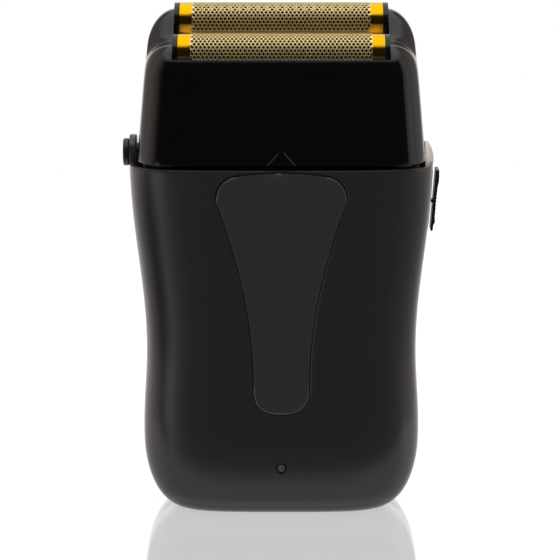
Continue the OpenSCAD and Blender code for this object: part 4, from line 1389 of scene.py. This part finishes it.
# Levels round the room as (bearing in degrees, colour): 0 is the camera, negative is the left.
WALLS_OVER_FLOOR: Walls = (
    (-180, "#f0f0f0"), (-150, "#8c8480"), (-125, "#a89c98"), (-105, "#c8b6b4"), (-88, "#c0aeac"),
    (-72, "#a89a9a"), (-60, "#6c6466"), (-50, "#404042"), (-38, "#1c1c1c"), (0, "#181818"),
    (58, "#242424"), (68, "#b0b0b0"), (85, "#cecccb"), (113, "#b0a8a4"), (150, "#807874"),
    (179.9, "#f0f0f0"),
)
WALLS_BELOW_EYE: Walls = (
    (-180, "#e3e3e3"), (-118, "#e3dedb"), (-97, "#e3dad6"), (-77, "#b5b0b0"), (-66, "#848282"),
    (-58, "#a0a0a2"), (-46, "#ffffff"), (-38, "#dddcde"), (-30, "#848484"), (-23, "#484848"),
    (0, "#242424"), (25, "#303030"), (36, "#585858"), (58, "#888786"), (86, "#aeaaa6"),
    (105, "#c4beba"), (130, "#b4aca8"), (179.9, "#e3e3e3"),
)
WALLS_AT_FOOT: Walls = (
    (-180, "#e3e3e3"), (-125, "#e3dedb"), (-102, "#c2bbb8"), (-89, "#a6a09e"), (-79, "#807c7a"),
    (-67, "#282828"), (-55, "#303030"), (-48, "#6c6c6e"), (-40, "#b4b4b8"), (-33, "#8c8c8c"),
    (-25, "#606060"), (-16, "#3c3c3c"), (0, "#282828"), (30, "#404040"), (48, "#606060"),
    (66, "#787675"), (86, "#929090"), (118, "#aea8a4"), (179.9, "#e3e3e3"),
)


@dataclass
class Studio:
    """The pale floor, the room with its one soft light and the camera of the photograph."""

    elevation: float = 12.5
    distance: float = 0.56
    target: Spot = (-0.00028, 0.0, 0.0495)
    lens: float = 164.76
    floor_x: float = 0.115
    floor_y: Flat = (-0.046, 0.4)
    floor_lift: float = 0.51
    foot_sine: Flat = (-0.24, -0.17)
    eye_sine: Flat = (-0.16, -0.08)
    ceiling_sine: Flat = (0.68, 0.9)
    backdrop_sine: Flat = (0.85, 0.95)
    room_strength: float = 1.3
    fill_rise: float = 34.0
    fill_away: float = 0.9
    fill_size: Flat = (0.7, 0.5)
    fill_level: float = 6.2

    def add_maths(self, tree: NodeTree, operation: str, *terms: NodeSocket | float) -> NodeSocket:
        """Adds a calculation with sockets and plain values.

        Args:
            tree: The node tree that gets it.
            operation: Blender's name for the calculation.
            terms: Sockets or plain values, in order.

        Returns:
            The socket with the result.
        """
        settings: Values = {i: term for i, term in enumerate(terms) if isinstance(term, float)}
        links: Values = {i: term for i, term in enumerate(terms) if i not in settings}
        settings["operation"] = operation
        return add_node(tree, "ShaderNodeMath", settings, links).outputs["Value"]

    def background_rays(self, tree: NodeTree) -> NodeSocket:
        """Adds a test for the rays that show the white background: camera, glossy and transmission rays.

        Args:
            tree: The node tree that gets the test.

        Returns:
            A socket that is 1 for such a ray and else 0.
        """
        path = add_node(tree, "ShaderNodeLightPath").outputs
        mirrored = self.add_maths(tree, "MAXIMUM", path["Is Glossy Ray"], path["Is Transmission Ray"])
        return self.add_maths(tree, "MAXIMUM", path["Is Camera Ray"], mirrored)

    def build_floor(self) -> None:
        """Builds the floor: a white sealed board that ends close before the shaver."""
        bm = bmesh.new()
        x, (near, far) = self.floor_x, self.floor_y
        edges = add_ring(bm, [(-x, near, 0.0), (x, near, 0.0), (x, far, 0.0), (-x, far, 0.0)])
        bmesh.ops.contextual_create(bm, geom=edges)
        floor = as_object("studio_floor", bm)
        material = bpy.data.materials.new("white_board_sealed")
        tree = empty_tree(material)
        seal = {"Roughness": 0.05, "IOR": 2.3, "Coat Weight": 1.0, "Coat IOR": 1.6}
        surface = add_node(tree, "ShaderNodeBsdfPrincipled", {"Base Color": linear("#606060"), **seal})
        lift = self.add_maths(tree, "MULTIPLY", self.background_rays(tree), self.floor_lift)
        glow = add_node(tree, "ShaderNodeEmission", links={"Strength": lift})
        layers = {0: surface.outputs["BSDF"], 1: glow.outputs["Emission"]}
        both = add_node(tree, "ShaderNodeAddShader", links=layers)
        add_node(tree, "ShaderNodeOutputMaterial", links={"Surface": both.outputs["Shader"]})
        floor.data.materials.append(material)

    def add_walls(self, tree: NodeTree, bearing: NodeSocket, walls: Walls) -> NodeSocket:
        """Adds one height of wall, whose level follows the bearing.

        Args:
            tree: The world's node tree.
            bearing: The bearing as a share of the full turn, with the camera's at a half.
            walls: The levels round the room.

        Returns:
            The colour for a bearing.
        """
        ramp = add_node(tree, "ShaderNodeValToRGB", links={"Fac": bearing})
        ramp.color_ramp.interpolation = "EASE"
        stops = ramp.color_ramp.elements
        for degrees, colour in walls:
            at = 0.5 + degrees / 360
            stop = stops[0] if at == 0 else stops.new(at)
            stop.color = linear(colour)
        stops.remove(stops[-1])
        return ramp.outputs["Color"]

    def add_rise(
        self, tree: NodeTree, height: NodeSocket, sines: Flat, lower: NodeSocket, upper: NodeSocket | str
    ) -> NodeSocket:
        """Adds the change from one height of wall to the next.

        Args:
            tree: The world's node tree.
            height: The sine of a direction's angle above the floor.
            sines: Where the change starts and ends.
            lower: The colour below it.
            upper: The colour above it, from the tree or as one hex value.

        Returns:
            The colour with the change in it.
        """
        change = {"interpolation_type": "SMOOTHSTEP", "From Min": sines[0], "From Max": sines[1]}
        share = add_node(tree, "ShaderNodeMapRange", change, {"Value": height})
        settings: Values = {"data_type": "RGBA"}
        links: Values = {"Factor": share.outputs["Result"], 6: lower}
        if isinstance(upper, str):
            settings[7] = linear(upper)
        else:
            links[7] = upper
        return add_node(tree, "ShaderNodeMix", settings, links).outputs[2]

    def build_world(self) -> None:
        """Builds the room: a white backdrop and ceiling, dim on the camera's side, white to the camera.

        The level goes round the room by the bearing of a direction, in three heights of wall, and the
        ceiling lies over all of it.
        """
        world = bpy.data.worlds.new("studio_room")
        bpy.context.scene.world = world
        tree = empty_tree(world)
        place = add_node(tree, "ShaderNodeTexCoord").outputs
        way = add_node(tree, "ShaderNodeSeparateXYZ", links={"Vector": place["Generated"]}).outputs
        toward = self.add_maths(tree, "MULTIPLY", way["Y"], -1.0)
        bearing = self.add_maths(tree, "ARCTAN2", way["X"], toward)
        full_turn = {"From Min": -math.pi, "From Max": math.pi}
        share = add_node(tree, "ShaderNodeMapRange", full_turn, {"Value": bearing}).outputs["Result"]
        level = self.add_walls(tree, share, WALLS_AT_FOOT)
        for sines, walls in ((self.foot_sine, WALLS_BELOW_EYE), (self.eye_sine, WALLS_OVER_FLOOR)):
            level = self.add_rise(tree, way["Z"], sines, level, self.add_walls(tree, share, walls))
        level = self.add_rise(tree, way["Z"], self.ceiling_sine, level, "#ffffff")
        lit = add_node(tree, "ShaderNodeBackground", {"Strength": self.room_strength}, {"Color": level})
        white = add_node(tree, "ShaderNodeBackground", {"Strength": 1.0, "Color": linear("#ffffff")})
        low, high = self.backdrop_sine
        edge = {"From Min": low, "From Max": high}
        behind = add_node(tree, "ShaderNodeMapRange", edge, {"Value": way["Y"]}).outputs["Result"]
        backdrop = self.add_maths(tree, "MULTIPLY", self.background_rays(tree), behind)
        path = add_node(tree, "ShaderNodeLightPath").outputs
        seen = self.add_maths(tree, "MAXIMUM", path["Is Camera Ray"], backdrop)
        shades = {"Fac": seen, 1: lit.outputs["Background"], 2: white.outputs["Background"]}
        sky = add_node(tree, "ShaderNodeMixShader", links=shades)
        add_node(tree, "ShaderNodeOutputWorld", links={"Surface": sky.outputs["Shader"]})

    def hang(self, name: str, data: bpy.types.ID, rise: float, away: float) -> bpy.types.Object:
        """Hangs a light or a camera before the shaver, so that it faces it.

        Args:
            name: The object's name.
            data: The light or camera.
            rise: Its angle above the floor in degrees.
            away: Its distance in metres.

        Returns:
            The object.
        """
        lift = math.radians(rise)
        back = Vector((0.0, -math.cos(lift), math.sin(lift)))
        made = bpy.data.objects.new(name, data)
        made.location = Vector(self.target) + back * away
        made.rotation_euler = (-back).to_track_quat("-Z", "Y").to_euler()
        bpy.context.scene.collection.objects.link(made)
        return made

    def build_fill(self) -> None:
        """Hangs a wide fill before the shaver that no gloss mirrors. A level of 1 is white."""
        data = bpy.data.lights.new("front_fill", "AREA")
        data.shape = "RECTANGLE"
        wide, tall = self.fill_size
        data.size, data.size_y = wide, tall
        data.energy = self.fill_level * wide * tall * math.pi
        fill = self.hang("front_fill", data, self.fill_rise, self.fill_away)
        fill.visible_glossy = False

    def build_camera(self) -> None:
        """Sets the camera at the photograph's height and distance."""
        data = bpy.data.cameras.new("photo_camera")
        data.lens = self.lens
        data.sensor_width = 36.0
        bpy.context.scene.camera = self.hang("photo_camera", data, self.elevation, self.distance)

    def build(self) -> None:
        """Builds the whole studio."""
        bpy.context.scene.view_settings.view_transform = "Standard"
        self.build_camera()
        self.build_floor()
        self.build_world()
        self.build_fill()


def dress_cad_nodes() -> None:
    """Gives each CAD node the finish of its slot in the record."""
    for row in frame["record"]["subparts"]:
        finish = FINISHES[row["material_slot"]]
        materials = frame["nodes"][row["node"]].data.materials
        materials.clear()
        materials.append(finish.make())
        LOG.info("%s is dressed as %s", row["node"], finish.name)


def main() -> None:
    """Builds the shaver and its studio in order."""
    logging.basicConfig(level=logging.INFO, format="%(name)s: %(message)s")
    Studio().build()
    dress_cad_nodes()
    Housing().build()
    Head().build()
    FoilUnit("front", -FOIL_Y, FRONT_FOIL_Z, Carrier.FRONT_FOIL).build()
    FoilUnit("rear", FOIL_Y, REAR_FOIL_Z, Carrier.REAR_FOIL).build()
    Controls().build()


if __name__ == "__main__":
    main()
